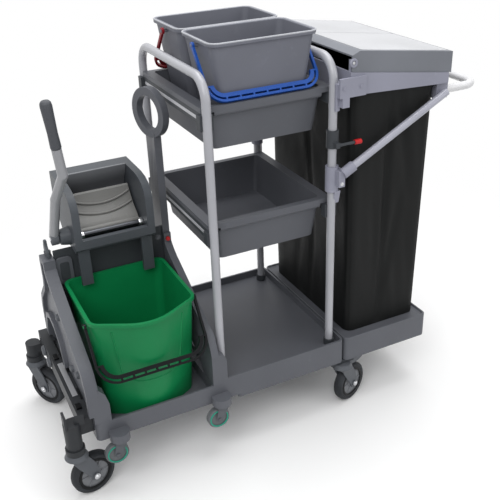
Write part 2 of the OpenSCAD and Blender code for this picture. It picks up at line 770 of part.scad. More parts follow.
module wringer_body() color([0.29, 0.31, 0.33]) difference() {
  union() {
    for (x = [press_x, press_end - side_plate])
      translate([x, 0, 0]) rotate([90, 0, 90]) linear_extrude(side_plate) side_outline();
    translate([press_x, 4, apron_top + 12]) cube([press_length, 15, 24]);
    translate([press_x, 20, apron_top]) cube([press_length, 96, 6]);
    translate([press_x, 0, 0]) rotate([90, 0, 90]) linear_extrude(press_length)
      polygon([[press_back, press_top], [press_back, press_top - 91], [press_back - 54, apron_top + 24],
               [120, apron_top], [112, apron_top], [press_back - 60, apron_top + 28],
               [press_back - 8, press_top - 88], [press_back - 8, press_top - 6],
               [press_back - 54, press_top - 6], [press_back - 54, press_top]]);
    for (x = [press_x + 7, press_end - 37])
      translate([x, 20, leg_low]) cube([30, 12, apron_top + 1 - leg_low]);
  }
  translate([press_x - 1, shaft_y, shaft_height]) rotate([0, 90, 0])
    cylinder(r = shaft_r + run_fit, h = press_length + 2);
  translate([press_x + side_plate - rod_seat - seat_fit, rod_y, rod_z]) rotate([0, 90, 0])
    cylinder(r = rod_r + seat_fit, h = press_length - 2 * (side_plate - rod_seat - seat_fit));
  for (i = [-3:3])
    translate([press_mid + i * 22 - 8, 34, apron_top - 1]) cube([16, 24, 8]);
}

module press_rod() color(steel)
  translate([press_x + side_plate - rod_seat, rod_y, rod_z]) rotate([0, 90, 0])
    cylinder(r = rod_r, h = press_length - 2 * (side_plate - rod_seat));

module press_shaft() color(steel)
  translate([lever_x - 12, shaft_y, shaft_height]) rotate([0, 90, 0])
    cylinder(r = shaft_r, h = press_end + 6 - lever_x + 12);

// Outline of the hollow-faced press plate, leaning back from the shaft
module jaw_outline() {
  circle(shaft_r + 5);
  rotate(45)
    polygon([[0, -6], [jaw_length, -6], [jaw_length, 9], [jaw_length * 0.94, 10], [jaw_length * 0.8, 6],
             [jaw_length * 0.62, 3.6], [jaw_length * 0.45, 3.6], [jaw_length * 0.28, 6], [jaw_length * 0.16, 9],
             [0, 9]]);
}

module press_plate() color([0.72, 0.71, 0.66]) difference() {
  translate([press_mid - jaw_half, shaft_y, shaft_height]) rotate([90, 0, 90])
    linear_extrude(2 * jaw_half) jaw_outline();
  translate([press_mid - jaw_half - 1, shaft_y, shaft_height]) rotate([0, 90, 0])
    cylinder(r = shaft_r + seat_fit, h = 2 * jaw_half + 2);
}

module wringer_lever() color(dark) difference() {
  elbow_low = [lever_x + 12, 30, shaft_height + 121];
  elbow_high = grip_start - 0.59 * (grip_end - grip_start);
  union() {
    translate([lever_x - 9, shaft_y, shaft_height]) rotate([0, 90, 0]) cylinder(r = 15, h = 18);
    rod([lever_x, shaft_y, shaft_height + 8], elbow_low, lever_r);
    translate(elbow_low) sphere(lever_r + 0.5, $fn = 32);
    rod(elbow_low, elbow_high, lever_r);
    translate(elbow_high) sphere(lever_r + 0.5, $fn = 32);
    rod(elbow_high, grip_start, lever_r);
  }
  translate([lever_x - 20, shaft_y, shaft_height]) rotate([0, 90, 0])
    cylinder(r = shaft_r + seat_fit, h = 60);
}

module lever_grip() color([0.1, 0.1, 0.11]) {
  v = grip_end - grip_start;
  translate(grip_start) rotate([0, acos(v[2] / norm(v)), atan2(v[1], v[0])]) rotate_extrude($fn = 32)
    polygon([[0, seat_fit], [grip_r - 2.5, seat_fit], [grip_r - 1, 4], [grip_r - 2, 40], [grip_r, norm(v) - 14],
             [grip_r - 1, norm(v) - 6], [grip_r - 5, norm(v) - 1], [0, norm(v)]]);
}

// Bag end

// Height of the frame's top edge at a given X
function frame_top(x) = frame_top_left + (x - frame_left) * frame_slope;

module bag_frame() color([0.56, 0.56, 0.63]) difference() {
  union() {
    difference() {
      translate([0, frame_half, 0]) rotate([90, 0, 0]) linear_extrude(2 * frame_half)
        polygon([[frame_left, frame_top_left - 57], [frame_right - 29, frame_low], [frame_right, frame_low],
                 [frame_right, frame_top_right], [frame_left, frame_top_left]]);
      translate([frame_left + frame_wall, -frame_half + frame_wall, frame_low - 128])
        cube([frame_end - frame_left - frame_wall, 2 * (frame_half - frame_wall), 400]);
    }
    both_sides() {
      translate([frame_right - 24, -handle_y - 17, handle_height - 17])
        cube([36, 34, frame_low + 22 - handle_height]);
      translate([brace_high[0], -brace_y, brace_high[1]]) rotate([-90, 0, 0])
        cylinder(r = stub_r, h = brace_y - handle_y - 12);
      translate([hinge_x - 7, -lid_half + lid_wall + gap, frame_top(hinge_x) - 20])
        cube([14, 6, hinge_z - frame_top(hinge_x) + 28]);
    }
  }
  both_sides() translate([frame_right - 18, -handle_y, handle_height]) rotate([0, 90, 0])
    cylinder(r = tube_r + seat_fit, h = 60);
  translate([hinge_x, -300, hinge_z]) rotate([-90, 0, 0]) cylinder(r = lid_pin_r + seat_fit, h = 600);
}

module frame_clamps() color([0.56, 0.56, 0.63]) both_sides() difference() {
  union() {
    translate([hoop_right, -post_y, upper_rim - 56]) cylinder(r = sleeve_r, h = 68);
    translate([hoop_right, -frame_half, clamp_bar])
      cube([frame_left - hoop_right, frame_half - post_y + tube_r - 1, 34]);
    translate([hoop_right, -frame_half - 7, clamp_bar]) cube([frame_left - hoop_right + 41, 7, 48]);
    translate([hoop_right + 8, -frame_half - 7, clamp_bar - 24]) cube([20, 20, 25]);
  }
  translate([hoop_right, -post_y, upper_rim - 80]) cylinder(r = tube_r + seat_fit, h = 140);
  translate([hoop_right - rail_d / 2 - seat_fit, -post_y, rail_low(upper_rim) - seat_fit])
    cube([rail_d + 2 * seat_fit, 60, 100]);
  translate([hoop_right - 40, -flange_y - 2, upper_rim - flange_thickness - 8]) cube([80, 60, 60]);
  translate([hoop_right - 40, -post_y - 40, upper_rim - 70]) cube([37, 80, 100]);
}

// Side outline of the lid; inner is the hollow below it
module lid_outline(shrink) {
  left = frame_left + 4;
  right = frame_right + 8;
  polygon([[left, frame_top(left) + gap - shrink * 2], [right - shrink, frame_top(right) + gap - shrink * 2],
           [right - shrink, frame_top(right) + lid_right - shrink],
           [left + 22, frame_top(left + 22) + lid_left + 6 - shrink], [left, frame_top(left) + lid_left - 6 - shrink]]);
}

module lid() color([0.8, 0.8, 0.8]) difference() {
  translate([0, lid_half, 0]) rotate([90, 0, 0]) linear_extrude(2 * lid_half) lid_outline(0);
  translate([0, lid_half - lid_wall, 0]) rotate([90, 0, 0]) linear_extrude(2 * (lid_half - lid_wall))
    lid_outline(lid_wall);
  translate([hinge_x, -300, hinge_z]) rotate([-90, 0, 0]) cylinder(r = lid_pin_r + run_fit, h = 600);
}

module lid_pins() color(steel) both_sides()
  translate([hinge_x, -lid_half - 2, hinge_z]) rotate([-90, 0, 0]) cylinder(r = lid_pin_r, h = lid_wall + gap + 10);

module waste_bag() color([0.09, 0.09, 0.1]) translate([bag_x + bag_length / 2, 0, 0]) difference() {
  tapered(bag_length / 2, bag_half, bag_length / 2 - 8, bag_half - 8, 26, bag_bottom, bag_top);
  tapered(bag_length / 2 - bag_wall, bag_half - bag_wall, bag_length / 2 - 8 - bag_wall,
          bag_half - 8 - bag_wall, 23, bag_bottom + bag_wall, bag_top + 1);
}

module push_handle() color(steel)
  translate([frame_right - 18, 0, handle_height])
    u_pipe(handle_end - tube_r - frame_right + 18, handle_y, handle_bend, tube_r);

module braces() color([0.68, 0.69, 0.74]) both_sides() difference() {
  translate([brace_low[0], -brace_y, brace_low[1]]) rotate([0, 90 - brace_turn, 0])
    difference() {
      cylinder(r = brace_r, h = brace_length + 14);
      translate([0, 0, -1]) cylinder(r = brace_r - tube_wall, h = brace_length + 12);
    }
  translate([brace_high[0], -brace_y - 1, brace_high[1]]) rotate([-90, 0, 0])
    cylinder(r = stub_r + seat_fit, h = 60);
}

module brace_sockets() color([0.56, 0.56, 0.63]) both_sides() difference() {
  union() {
    translate([hoop_right, -post_y, brace_low[1] - 54]) cylinder(r = sleeve_r, h = 68);
    translate([brace_low[0], -brace_y, brace_low[1]]) rotate([0, 90 - brace_turn, 0])
      translate([0, 0, -8]) cylinder(r = brace_r + 4, h = 36);
    translate([hoop_right + 4, -brace_y - 4, brace_low[1] - 38]) cube([18, brace_y - post_y + 4, 44]);
    translate([hoop_right, -post_y - sleeve_r, brace_low[1] - 118]) rotate([90, 0, 90]) linear_extrude(sleeve_r)
      polygon([[0, 66], [sleeve_r - 3, 66], [sleeve_r - 3, 30], [sleeve_r - 8, 30]]);
  }
  translate([brace_low[0], -brace_y, brace_low[1]]) rotate([0, 90 - brace_turn, 0])
    cylinder(r = brace_r + seat_fit, h = 60);
  translate([hoop_right, -post_y, brace_low[1] - 144]) cylinder(r = tube_r + seat_fit, h = 200);
}

module hook_clip() color(dark) difference() {
  union() {
    translate([hoop_right, -post_y, hook_z - 11]) cylinder(r = sleeve_r - 1, h = 46);
    translate([hoop_right - 6, hook_y - 4, hook_z - 7]) cube([12, 24, 14]);
    translate([hoop_right, hook_y, hook_z]) rotate([0, 90, 0]) cylinder(r = 4, h = 66);
  }
  translate([hoop_right, -post_y, hook_z - 39]) cylinder(r = tube_r + seat_fit, h = 100);
}

module hook_tip() color([0.75, 0.06, 0.06]) difference() {
  translate([hoop_right + 50, hook_y, hook_z]) rotate([0, 90, 0]) cylinder(r = 6.5, h = 20);
  translate([hoop_right + 49, hook_y, hook_z]) rotate([0, 90, 0]) cylinder(r = 4 + seat_fit, h = 17 + seat_fit);
}

// Castors

// Moves its children to a castor's stem, turned so that its wheel trails towards the given direction
module at_stem(stem, side, turn) {
  translate([stem[0], side * stem[1], 0]) rotate([0, 0, turn]) children();
}

module large_fork() color(dark) {
  half = wheel_width / 2 + 2;
  difference() {
    union() {
      translate([0, 0, 2 * wheel_r + 13]) cylinder(r = 23, h = crown_top - 2 * wheel_r - 13);
      translate([0, 0, crown_top - 1]) cylinder(r = stem_r, h = link_thickness);
      translate([0, half + fork_leg, 0]) rotate([90, 0, 0]) linear_extrude(2 * (half + fork_leg))
        polygon([[-18, 2 * wheel_r + 16], [20, 2 * wheel_r + 16], [40, wheel_r + 42], [trail + 14, wheel_r + 8],
                 [trail + 10, wheel_r - 12], [trail - 10, wheel_r - 12], [trail - 14, wheel_r],
                 [-6, wheel_r + 44], [-18, 2 * wheel_r + 6]]);
    }
    translate([-60, -half, 0]) cube([160, 2 * half, 2 * wheel_r + 6]);
    translate([trail, 0, wheel_r]) rotate([90, 0, 0]) cylinder(r = axle_r + seat_fit, h = 90, center = true);
  }
  translate([trail, 0, wheel_r]) rotate([90, 0, 0]) cylinder(r = axle_r, h = 2 * (half + fork_leg) + 2, center = true);
  for (s = [-1, 1]) translate([trail, s * (half + fork_leg + seat_fit + 2.5), wheel_r]) rotate([90, 0, 0])
    cylinder(r = axle_r + 3, h = 5, center = true, $fn = 24);
}

module large_hub() color([0.5, 0.51, 0.53])
  translate([trail, 0, wheel_r]) rotate([90, 0, 0]) rotate_extrude()
    polygon([[axle_r + run_fit, -wheel_width / 2 - 1], [16, -wheel_width / 2 - 1], [18, -wheel_width / 2 + 4],
             [wheel_r - tyre_thickness - 6, -wheel_width / 2 + 4], [wheel_r - tyre_thickness - 4, -wheel_width / 2 + 1],
             [wheel_r - tyre_thickness, -wheel_width / 2 + 1], [wheel_r - tyre_thickness, wheel_width / 2 - 1],
             [wheel_r - tyre_thickness - 4, wheel_width / 2 - 1], [wheel_r - tyre_thickness - 6, wheel_width / 2 - 4],
             [18, wheel_width / 2 - 4], [16, wheel_width / 2 + 1], [axle_r + run_fit, wheel_width / 2 + 1]]);

module large_tyre() color([0.1, 0.1, 0.1])
  translate([trail, 0, wheel_r]) rotate([90, 0, 0]) rotate_extrude($fn = 72)
    polygon([[wheel_r - tyre_thickness, -wheel_width / 2], [wheel_r - 5, -wheel_width / 2],
             [wheel_r - 1.5, -wheel_width / 2 + 4], [wheel_r, -wheel_width / 2 + 8], [wheel_r, wheel_width / 2 - 8],
             [wheel_r - 1.5, wheel_width / 2 - 4], [wheel_r - 5, wheel_width / 2],
             [wheel_r - tyre_thickness, wheel_width / 2]]);

module small_fork() color(dark) {
  half = roller_width / 2 + 1.5;
  difference() {
    union() {
      translate([0, 0, roller_top + 2]) cylinder(r = 20, h = ear_bottom - gap - roller_top - 2);
      translate([0, 0, ear_bottom - gap - 1]) cylinder(r = roller_stem_r, h = 18);
      translate([0, half + 3, 0]) rotate([90, 0, 0]) linear_extrude(2 * half + 6)
        polygon([[-14, roller_top + 4], [16, roller_top + 4], [roller_trail + 8, roller_height + 4],
                 [roller_trail + 6, roller_height - 8], [roller_trail - 6, roller_height - 8], [-4, roller_height + 12]]);
    }
    translate([-60, -half, 0]) cube([120, 2 * half, roller_top + 2]);
    translate([roller_trail, 0, roller_height]) rotate([90, 0, 0])
      cylinder(r = roller_axle_r + seat_fit, h = 60, center = true);
  }
  translate([roller_trail, 0, roller_height]) rotate([90, 0, 0])
    cylinder(r = roller_axle_r, h = 2 * half + 8, center = true);
  for (s = [-1, 1]) translate([roller_trail, s * (half + seat_fit + 4.5), roller_height]) rotate([90, 0, 0])
    cylinder(r = roller_axle_r + 2, h = 3, center = true, $fn = 24);
}

module small_wheel() color([0.45, 0.46, 0.47])
  translate([roller_trail, 0, roller_height]) rotate([90, 0, 0]) rotate_extrude()
    polygon([[roller_axle_r + run_fit, -roller_width / 2 - 1], [8, -roller_width / 2 - 1], [9, -roller_width / 2 + 2],
             [roller_r - 8, -roller_width / 2 + 2], [roller_r - 6, -roller_width / 2], [roller_r - 2, -roller_width / 2],
             [roller_r, -roller_width / 2 + 3], [roller_r, roller_width / 2 - 3], [roller_r - 2, roller_width / 2],
             [roller_r - 6, roller_width / 2], [roller_r - 8, roller_width / 2 - 2], [9, roller_width / 2 - 2],
             [8, roller_width / 2 + 1], [roller_axle_r + run_fit, roller_width / 2 + 1]]);

module large_nl() at_stem(stem_left, -1, 13) children();

module large_fl() at_stem(stem_left, 1, -55) children();

module large_nr() at_stem(stem_right, -1, 21) children();

module large_fr() at_stem(stem_right, 1, -30) children();

module small_nl() at_stem(roller_stem_left, -1, 180) children();

module small_fl() at_stem(roller_stem_left, 1, 180) children();

module small_nr() at_stem(roller_stem_right, -1, 180) children();

module small_fr() at_stem(roller_stem_right, 1, 180) children();

base_deck();
bag_deck();
link_beam();
caster_beam();
beam_plate();
left_arm();
right_arm();
ring_handle();
lock_button();
wringer_bracket();
left_hoop();
right_hoop();
hoop_collars();
tray_rails();
rail_clips();
upper_tray();
middle_tray();
near_pail();
far_pail();
near_pail_bail();
far_pail_bail();
mop_bucket();
mop_bucket_bail();
wringer_body();
press_rod();
press_plate();
press_shaft();
wringer_lever();
lever_grip();
bag_frame();
frame_clamps();
lid();
lid_pins();
waste_bag();
push_handle();
braces();
brace_sockets();
hook_clip();
hook_tip();
large_nl() large_fork();  // large_nl_fork
large_nl() large_hub();  // large_nl_hub
large_nl() large_tyre();  // large_nl_tyre
large_fl() large_fork();  // large_fl_fork
large_fl() large_hub();  // large_fl_hub
large_fl() large_tyre();  // large_fl_tyre
large_nr() large_fork();  // large_nr_fork
large_nr() large_hub();  // large_nr_hub
large_nr() large_tyre();  // large_nr_tyre
large_fr() large_fork();  // large_fr_fork
large_fr() large_hub();  // large_fr_hub
large_fr() large_tyre();  // large_fr_tyre
small_nl() small_fork();  // small_nl_fork
small_nl() small_wheel();  // small_nl_wheel
small_fl() small_fork();  // small_fl_fork
small_fl() small_wheel();  // small_fl_wheel
small_nr() small_fork();  // small_nr_fork
small_nr() small_wheel();  // small_nr_wheel
small_fr() small_fork();  // small_fr_fork
small_fr() small_wheel();  // small_fr_wheel
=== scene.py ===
# %% [markdown]
# # A janitor's cart
#
# The cart is a row of plastic decks on castors. Tube hoops carry two trays and two pails, a bucket and a mop press
# stand at one end, and a waste bag hangs in a frame at the other. The sizes and the moving pieces come from the CAD
# frame. This script gives those pieces their edges, surfaces, seams and small fittings. Lengths in the cells are
# millimetres in the CAD frame, with the near side at negative y, unless a line says otherwise.

# %% Load the frame
import json
import math
import random

import bmesh
import bpy
from mathutils import Matrix, Vector
from mathutils.bvhtree import BVHTree


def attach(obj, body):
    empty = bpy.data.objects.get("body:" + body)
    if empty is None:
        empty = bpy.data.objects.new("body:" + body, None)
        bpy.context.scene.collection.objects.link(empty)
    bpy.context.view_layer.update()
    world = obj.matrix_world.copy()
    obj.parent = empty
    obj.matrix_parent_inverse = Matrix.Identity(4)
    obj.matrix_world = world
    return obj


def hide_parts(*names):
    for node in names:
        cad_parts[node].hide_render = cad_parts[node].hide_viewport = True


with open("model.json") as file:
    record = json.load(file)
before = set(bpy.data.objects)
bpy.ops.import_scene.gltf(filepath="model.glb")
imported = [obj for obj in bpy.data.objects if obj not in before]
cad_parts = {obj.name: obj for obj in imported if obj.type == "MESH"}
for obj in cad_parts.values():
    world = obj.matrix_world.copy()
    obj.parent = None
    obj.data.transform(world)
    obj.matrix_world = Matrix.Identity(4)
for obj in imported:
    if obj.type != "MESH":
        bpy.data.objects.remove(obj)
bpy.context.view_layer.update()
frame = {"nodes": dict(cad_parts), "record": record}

nodes = frame["nodes"]
slot_of = {row["node"]: row["material_slot"] for row in frame["record"]["subparts"]}
body_of = {n: b for b, members in frame["record"]["behaviour"]["bodies"].items() for n in members}
random.seed(7)


def placed(name, data):
    """A new object in the scene."""
    made = bpy.data.objects.new(name, data)
    bpy.context.scene.collection.objects.link(made)
    return made


# %% [markdown]
# ## Camera
# The view is a three-quarter one from the near left, a little above the trays. A camera can be aimed at a point with a
# constraint, but that leaves no roll. Its three axes are built from a turn, a tilt and a roll instead, so that the
# picture leans by two degrees, as in a hand-held studio shot. The lens is about 55 mm on a 36 mm sensor.

# %% Camera
camera_place = (-0.825, -1.754, 1.479)  # metres
camera_degrees = (-25.6124, 27.7494, -2.0528)
turn, tilt, roll = (math.radians(a) for a in camera_degrees)
back = Vector((math.sin(turn) * math.cos(tilt), -math.cos(turn) * math.cos(tilt), math.sin(tilt)))
level = Vector((math.cos(turn), math.sin(turn), 0))
rise = back.cross(level)
right = level * math.cos(roll) + rise * math.sin(roll)
up = rise * math.cos(roll) - level * math.sin(roll)
lens = bpy.data.cameras.new("camera")
lens.sensor_width = 36
lens.lens = 54.96
camera = placed("camera", lens)
camera.matrix_world = Matrix.Translation(camera_place) @ Matrix((right, up, back)).transposed().to_4x4()
bpy.context.scene.camera = camera
print("camera", [round(v, 3) for v in camera_place], "lens", round(lens.lens, 2))

# %% [markdown]
# ## Shader sums
# A moulded or painted surface is never one flat colour. Its look could be painted on a picture, but a picture needs
# an unwrapped surface and ends at its own pixels. Each finish below is a sum of a few noises instead: a slow one for
# uneven colour, a stretched one for scuffs and a fine one for the grain. The class lets those sums be written as
# plain arithmetic.


# %% Shader sums
def plug(tree, socket, value):
    """Link a sum to a socket, or set the socket to a constant."""
    if isinstance(value, Sum):
        tree.links.new(value.socket, socket)
    else:
        socket.default_value = value


class Sum:
    """One output of a node tree, used in plain arithmetic."""

    def __init__(self, tree, socket):
        self.tree = tree
        self.socket = socket

    def node(self, kind, settings=None, values=None, out=0):
        made = self.tree.nodes.new("ShaderNode" + kind)
        for key, value in (settings or {}).items():
            setattr(made, key, value)
        for key, value in (values or {}).items():
            plug(self.tree, made.inputs[key], value)
        return Sum(self.tree, made.outputs[out])

    def maths(self, how, a, b):
        return self.node("Math", {"operation": how}, {0: a, 1: b})

    def __add__(self, other):
        return self.maths("ADD", self, other)

    def __radd__(self, other):
        return self.maths("ADD", other, self)

    def __sub__(self, other):
        return self.maths("SUBTRACT", self, other)

    def __mul__(self, other):
        return self.maths("MULTIPLY", self, other)

    def __rmul__(self, other):
        return self.maths("MULTIPLY", other, self)

    def between(self, low, high):
        return self.node("MapRange", {"clamp": True}, {0: self, 1: low, 2: high, 3: 0.0, 4: 1.0})

    def colour(self, a, b):
        return self.node("Mix", {"data_type": "RGBA"}, {0: self, 6: a, 7: b}, out=2)

    def stretched(self, x, y, z):
        return self.node("VectorMath", {"operation": "MULTIPLY"}, {0: self, 1: (x, y, z)})

    def noise(self, scale, detail=2.0):
        return self.node("TexNoise", None, {"Vector": self, "Scale": scale, "Detail": detail})


print("shader sums ready")


# %% Colours and bump
def linear(code):
    """Linear colour of a #rrggbb code."""
    parts = [int(code[i : i + 2], 16) / 255 for i in (1, 3, 5)]
    return [c / 12.92 if c <= 0.04045 else ((c + 0.055) / 1.055) ** 2.4 for c in parts] + [1.0]


def toned(colour, gain):
    """A colour made darker or paler."""
    return [min(1.0, c * gain) for c in colour[:3]] + [1.0]


def blank(name):
    """A new material with its tree, its shader and the place on the piece."""
    made = bpy.data.materials.new(name)
    made.use_nodes = True
    tree = made.node_tree
    shader = tree.nodes["Principled BSDF"]
    place = Sum(tree, tree.nodes.new("ShaderNodeTexCoord").outputs["Object"])
    return made, tree, shader, place


bump_strength = 0.6


def bump(tree, shader, height, depth):
    """Raise a surface by a sum; the depth is in metres."""
    made = tree.nodes.new("ShaderNodeBump")
    made.inputs["Strength"].default_value = bump_strength
    made.inputs["Distance"].default_value = depth
    plug(tree, made.inputs["Height"], height)
    tree.links.new(made.outputs["Normal"], shader.inputs["Normal"])


print("colours and bump ready")

# %% [markdown]
# ## Plastic and paint
# Moulded plastic has a spark-eroded grain of about a millimetre and paler scuffs where things slide past. Paint on
# tube has a faint orange peel and a few chips. The grain could be modelled, but it is far too fine for that, so bump
# makes it.


# %% Plastic and paint
def moulded(name, code, rough=0.5, wear=0.25, shine=0.3):
    made, tree, shader, place = blank(name)
    base = linear(code)
    cloud = place.noise(6.0, 3.0)
    streaks = place.stretched(60, 9, 60).noise(1.0, 4.0).between(0.6, 0.75)
    scuff = streaks * place.noise(14.0, 2.0).between(0.45, 0.7)
    fine = place.noise(700.0, 2.0)
    body = cloud.between(0.3, 0.7).colour(toned(base, 0.93), toned(base, 1.07))
    worn = (scuff * wear).colour(body, toned(base, 1.7))
    plug(tree, shader.inputs["Base Color"], worn)
    plug(tree, shader.inputs["Roughness"], rough + 0.12 * (cloud - 0.5) + 0.1 * scuff + 0.08 * (fine - 0.5))
    shader.inputs["Specular IOR Level"].default_value = shine
    bump(tree, shader, fine + 0.5 * place.noise(240.0, 2.0), 0.0002)
    return made


def painted(name, code, rough=0.32):
    made, tree, shader, place = blank(name)
    base = linear(code)
    cloud = place.noise(9.0, 3.0)
    chips = place.noise(85.0, 3.0).between(0.72, 0.78)
    body = cloud.between(0.3, 0.7).colour(toned(base, 0.95), toned(base, 1.05))
    plug(tree, shader.inputs["Base Color"], (chips * 0.5).colour(body, toned(base, 0.72)))
    plug(tree, shader.inputs["Roughness"], rough + 0.14 * (cloud - 0.5) + 0.2 * chips)
    shader.inputs["Coat Weight"].default_value = 0.25
    shader.inputs["Coat Roughness"].default_value = 0.2
    bump(tree, shader, place.noise(320.0, 2.0), 0.0002)
    return made


print("recipes: moulded, painted")

# %% [markdown]
# ## Metal, rubber and cloth
# Zinc and chrome show the direction in which they were drawn, rubber has a chalky bloom, and the bag is a plain weave
# of coated yarn. The weave could be laid as real yarn, but from here two crossed waves of bump look the same.


# %% Metal, rubber and cloth
def drawn_metal(name, code, rough=0.25, along=(6, 260, 260), stains=1.0):
    made, tree, shader, place = blank(name)
    base = linear(code)
    lines = place.stretched(*along).noise(1.0, 3.0)
    stain = stains * place.noise(30.0, 3.0).between(0.5, 0.8)
    plug(tree, shader.inputs["Base Color"], stain.colour(toned(base, 1.05), toned(base, 0.7)))
    plug(tree, shader.inputs["Roughness"], rough + 0.2 * (lines - 0.5) + 0.15 * stain)
    shader.inputs["Metallic"].default_value = 0.9
    bump(tree, shader, lines, 0.0001)
    return made


def rubber(name, code):
    made, tree, shader, place = blank(name)
    base = linear(code)
    bloom = place.noise(22.0, 4.0).between(0.45, 0.75)
    plug(tree, shader.inputs["Base Color"], bloom.colour(base, toned(base, 2.2)))
    plug(tree, shader.inputs["Roughness"], 0.6 + 0.2 * bloom)
    shader.inputs["Specular IOR Level"].default_value = 0.2
    bump(tree, shader, place.noise(500.0, 3.0), 0.0003)
    return made


def coated_weave(name, code):
    made, tree, shader, place = blank(name)
    base = linear(code)
    yarn = {"Vector": place, "Scale": 150.0, "Distortion": 0.4}
    over = place.node("TexWave", {"bands_direction": "X"}, yarn)
    under = place.node("TexWave", {"bands_direction": "Z"}, yarn)
    cloud = place.noise(7.0, 4.0)
    dust = place.noise(40.0, 4.0).between(0.55, 0.85)
    plug(tree, shader.inputs["Base Color"], (0.3 * dust + 0.4 * cloud).colour(toned(base, 0.7), toned(base, 1.5)))
    plug(tree, shader.inputs["Roughness"], 0.5 + 0.2 * (cloud - 0.5) + 0.1 * dust)
    shader.inputs["Specular IOR Level"].default_value = 0.14
    bump(tree, shader, 0.5 * over + 0.5 * under + 0.8 * place.noise(60.0, 3.0), 0.0005)
    return made


print("recipes: drawn_metal, rubber, coated_weave")

# %% [markdown]
# ## Finish list
# Each material slot of the record gets one finish, so that pieces of one moulding family match. A few trims have a
# finish of their own.

# %% Finish list
finish = {
    "deck_grey": moulded("deck_grey", "#595b61", 0.42, shine=0.25),
    "dark_plastic": moulded("dark_plastic", "#3c3f43", 0.46, shine=0.2),
    "hoop_tube": painted("hoop_tube", "#a3a4aa"),
    "handle_tube": painted("handle_tube", "#d4d4d6"),
    "brace_tube": painted("brace_tube", "#a3a4b0"),
    "steel": drawn_metal("steel", "#c4c5c8"),
    "chrome_rod": drawn_metal("chrome_rod", "#dcdde0", 0.14),
    "pail_grey": moulded("pail_grey", "#6d6f78", 0.45, shine=0.2),
    "bail_blue": moulded("bail_blue", "#164a9c", 0.36, shine=0.4),
    "bail_red": moulded("bail_red", "#841621", 0.4, shine=0.2),
    "bucket_green": moulded("bucket_green", "#0d7a46", 0.38, wear=0.12, shine=0.2),
    "press_grey": moulded("press_grey", "#474b50", 0.42, shine=0.25),
    "press_pale": moulded("press_pale", "#6a6a68", 0.36),
    "lever_metal": painted("lever_metal", "#8f9094", 0.3),
    "grip_dark": moulded("grip_dark", "#494b50", 0.5, shine=0.3),
    "bag_frame_grey": moulded("bag_frame_grey", "#8e8f9d", 0.44),
    # painted shade: the lid's grey is darker than the real lid, so that its skirt looks shaded
    "lid_pale": moulded("lid_pale", "#73767d", 0.42),
    "bag_black": coated_weave("bag_black", "#171818"),
    "signal_red": moulded("signal_red", "#b8181c", 0.35),
    "fork_grey": moulded("fork_grey", "#55585d", 0.45, shine=0.25),
    "hub_grey": moulded("hub_grey", "#707276", 0.42),
    "tyre_black": rubber("tyre_black", "#2a2c2f"),
    "roller_grey": moulded("roller_grey", "#5f6265", 0.45, shine=0.25),
}
ring_green = moulded("ring_green", "#1f8f78", 0.4)
ink_black = moulded("ink_black", "#121315", 0.3, wear=0.1, shine=0.14)
# painted light: a paler copy of the lid's grey, for its lit top
lid_top_painted_light = moulded("lid_top_painted_light", "#b4b5b8", 0.4)
strip_pale = painted("strip_pale", "#b4b5ba")
# painted highlight: a paler grey for the pails' rim beads, so that the rims look lit
rim_painted_highlight = moulded("rim_painted_highlight", "#a9abb1", 0.42)
plain_zinc = drawn_metal("plain_zinc", "#b9babd", 0.36, (30, 6, 30), stains=0.0)
# painted shade: the cross member under the bucket gets a darker grey than its plastic, for the shadow it lies in
beam_painted_shade = moulded("beam_painted_shade", "#2f3134", 0.46, shine=0.2)
dark_rod = drawn_metal("dark_rod", "#4a4c50", 0.3)
print(len(finish), "finishes for the slots, and more for trims")

# %% [markdown]
# ## Finished pieces
# A finished piece is a mesh with one finish that rides on the body of a CAD node. Most of them stand for that node's
# solid, which is then hidden; trims only add to it.


# %% Finished pieces
def shaded(mesh, angle):
    """Smooth faces, with sharp edges above an angle in degrees."""
    for face in mesh.polygons:
        face.use_smooth = True
    mesh.set_sharp_from_angle(angle=math.radians(angle))


def piece(name, mesh, node, look=None, stands_for=True, angle=38):
    """A finished piece on the body of a CAD node; an angle of 0 keeps the mesh's own shading."""
    made = placed(name, mesh)
    if angle:
        shaded(mesh, angle)
    mesh.materials.clear()
    mesh.materials.append(look or finish[slot_of[node]])
    for face in mesh.polygons:
        face.material_index = 0
    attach(made, body_of[node])
    if stands_for:
        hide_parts(node)
    return made


def evaluated(made):
    """The mesh of an object with its modifiers applied."""
    bpy.context.view_layer.update()
    mesh = bpy.data.meshes.new_from_object(made.evaluated_get(bpy.context.evaluated_depsgraph_get()))
    bpy.data.objects.remove(made)
    return mesh


print("pieces can be made")

# %% [markdown]
# ## Softened mouldings
# A moulded piece has no sharp edge, since the tool has a radius wherever it was cut. The CAD pieces are drawn sharp.
# They could be modelled again by hand, but would then drift from their sizes. So each is copied, its flat faces are
# joined again, and its hard edges get a bevel of the radius that such a piece would have: half a millimetre on sheet
# steel, up to nine on the lid.

# %% Edge helpers
crease = 30  # degrees; sharper edges are bevelled
flat_angle = 0.6  # degrees; faces that differ by less are joined


def skin_area(mesh):
    mesh.calc_loop_triangles()
    return sum(t.area for t in mesh.loop_triangles)


def cleaned(node):
    """Copy of a CAD mesh, with its flat faces joined again where that keeps the shape."""
    whole = nodes[node].data.copy()
    work = bmesh.new()
    work.from_mesh(whole)
    bmesh.ops.remove_doubles(work, verts=work.verts, dist=1e-5)
    bmesh.ops.recalc_face_normals(work, faces=work.faces)
    work.to_mesh(whole)
    merged = whole.copy()
    bmesh.ops.dissolve_limit(work, angle_limit=math.radians(flat_angle), verts=work.verts, edges=work.edges)
    work.to_mesh(merged)
    work.free()
    same = abs(skin_area(merged) / skin_area(whole) - 1) < 0.001
    if not same:
        print(node, "keeps its small faces")
    return merged if same else whole


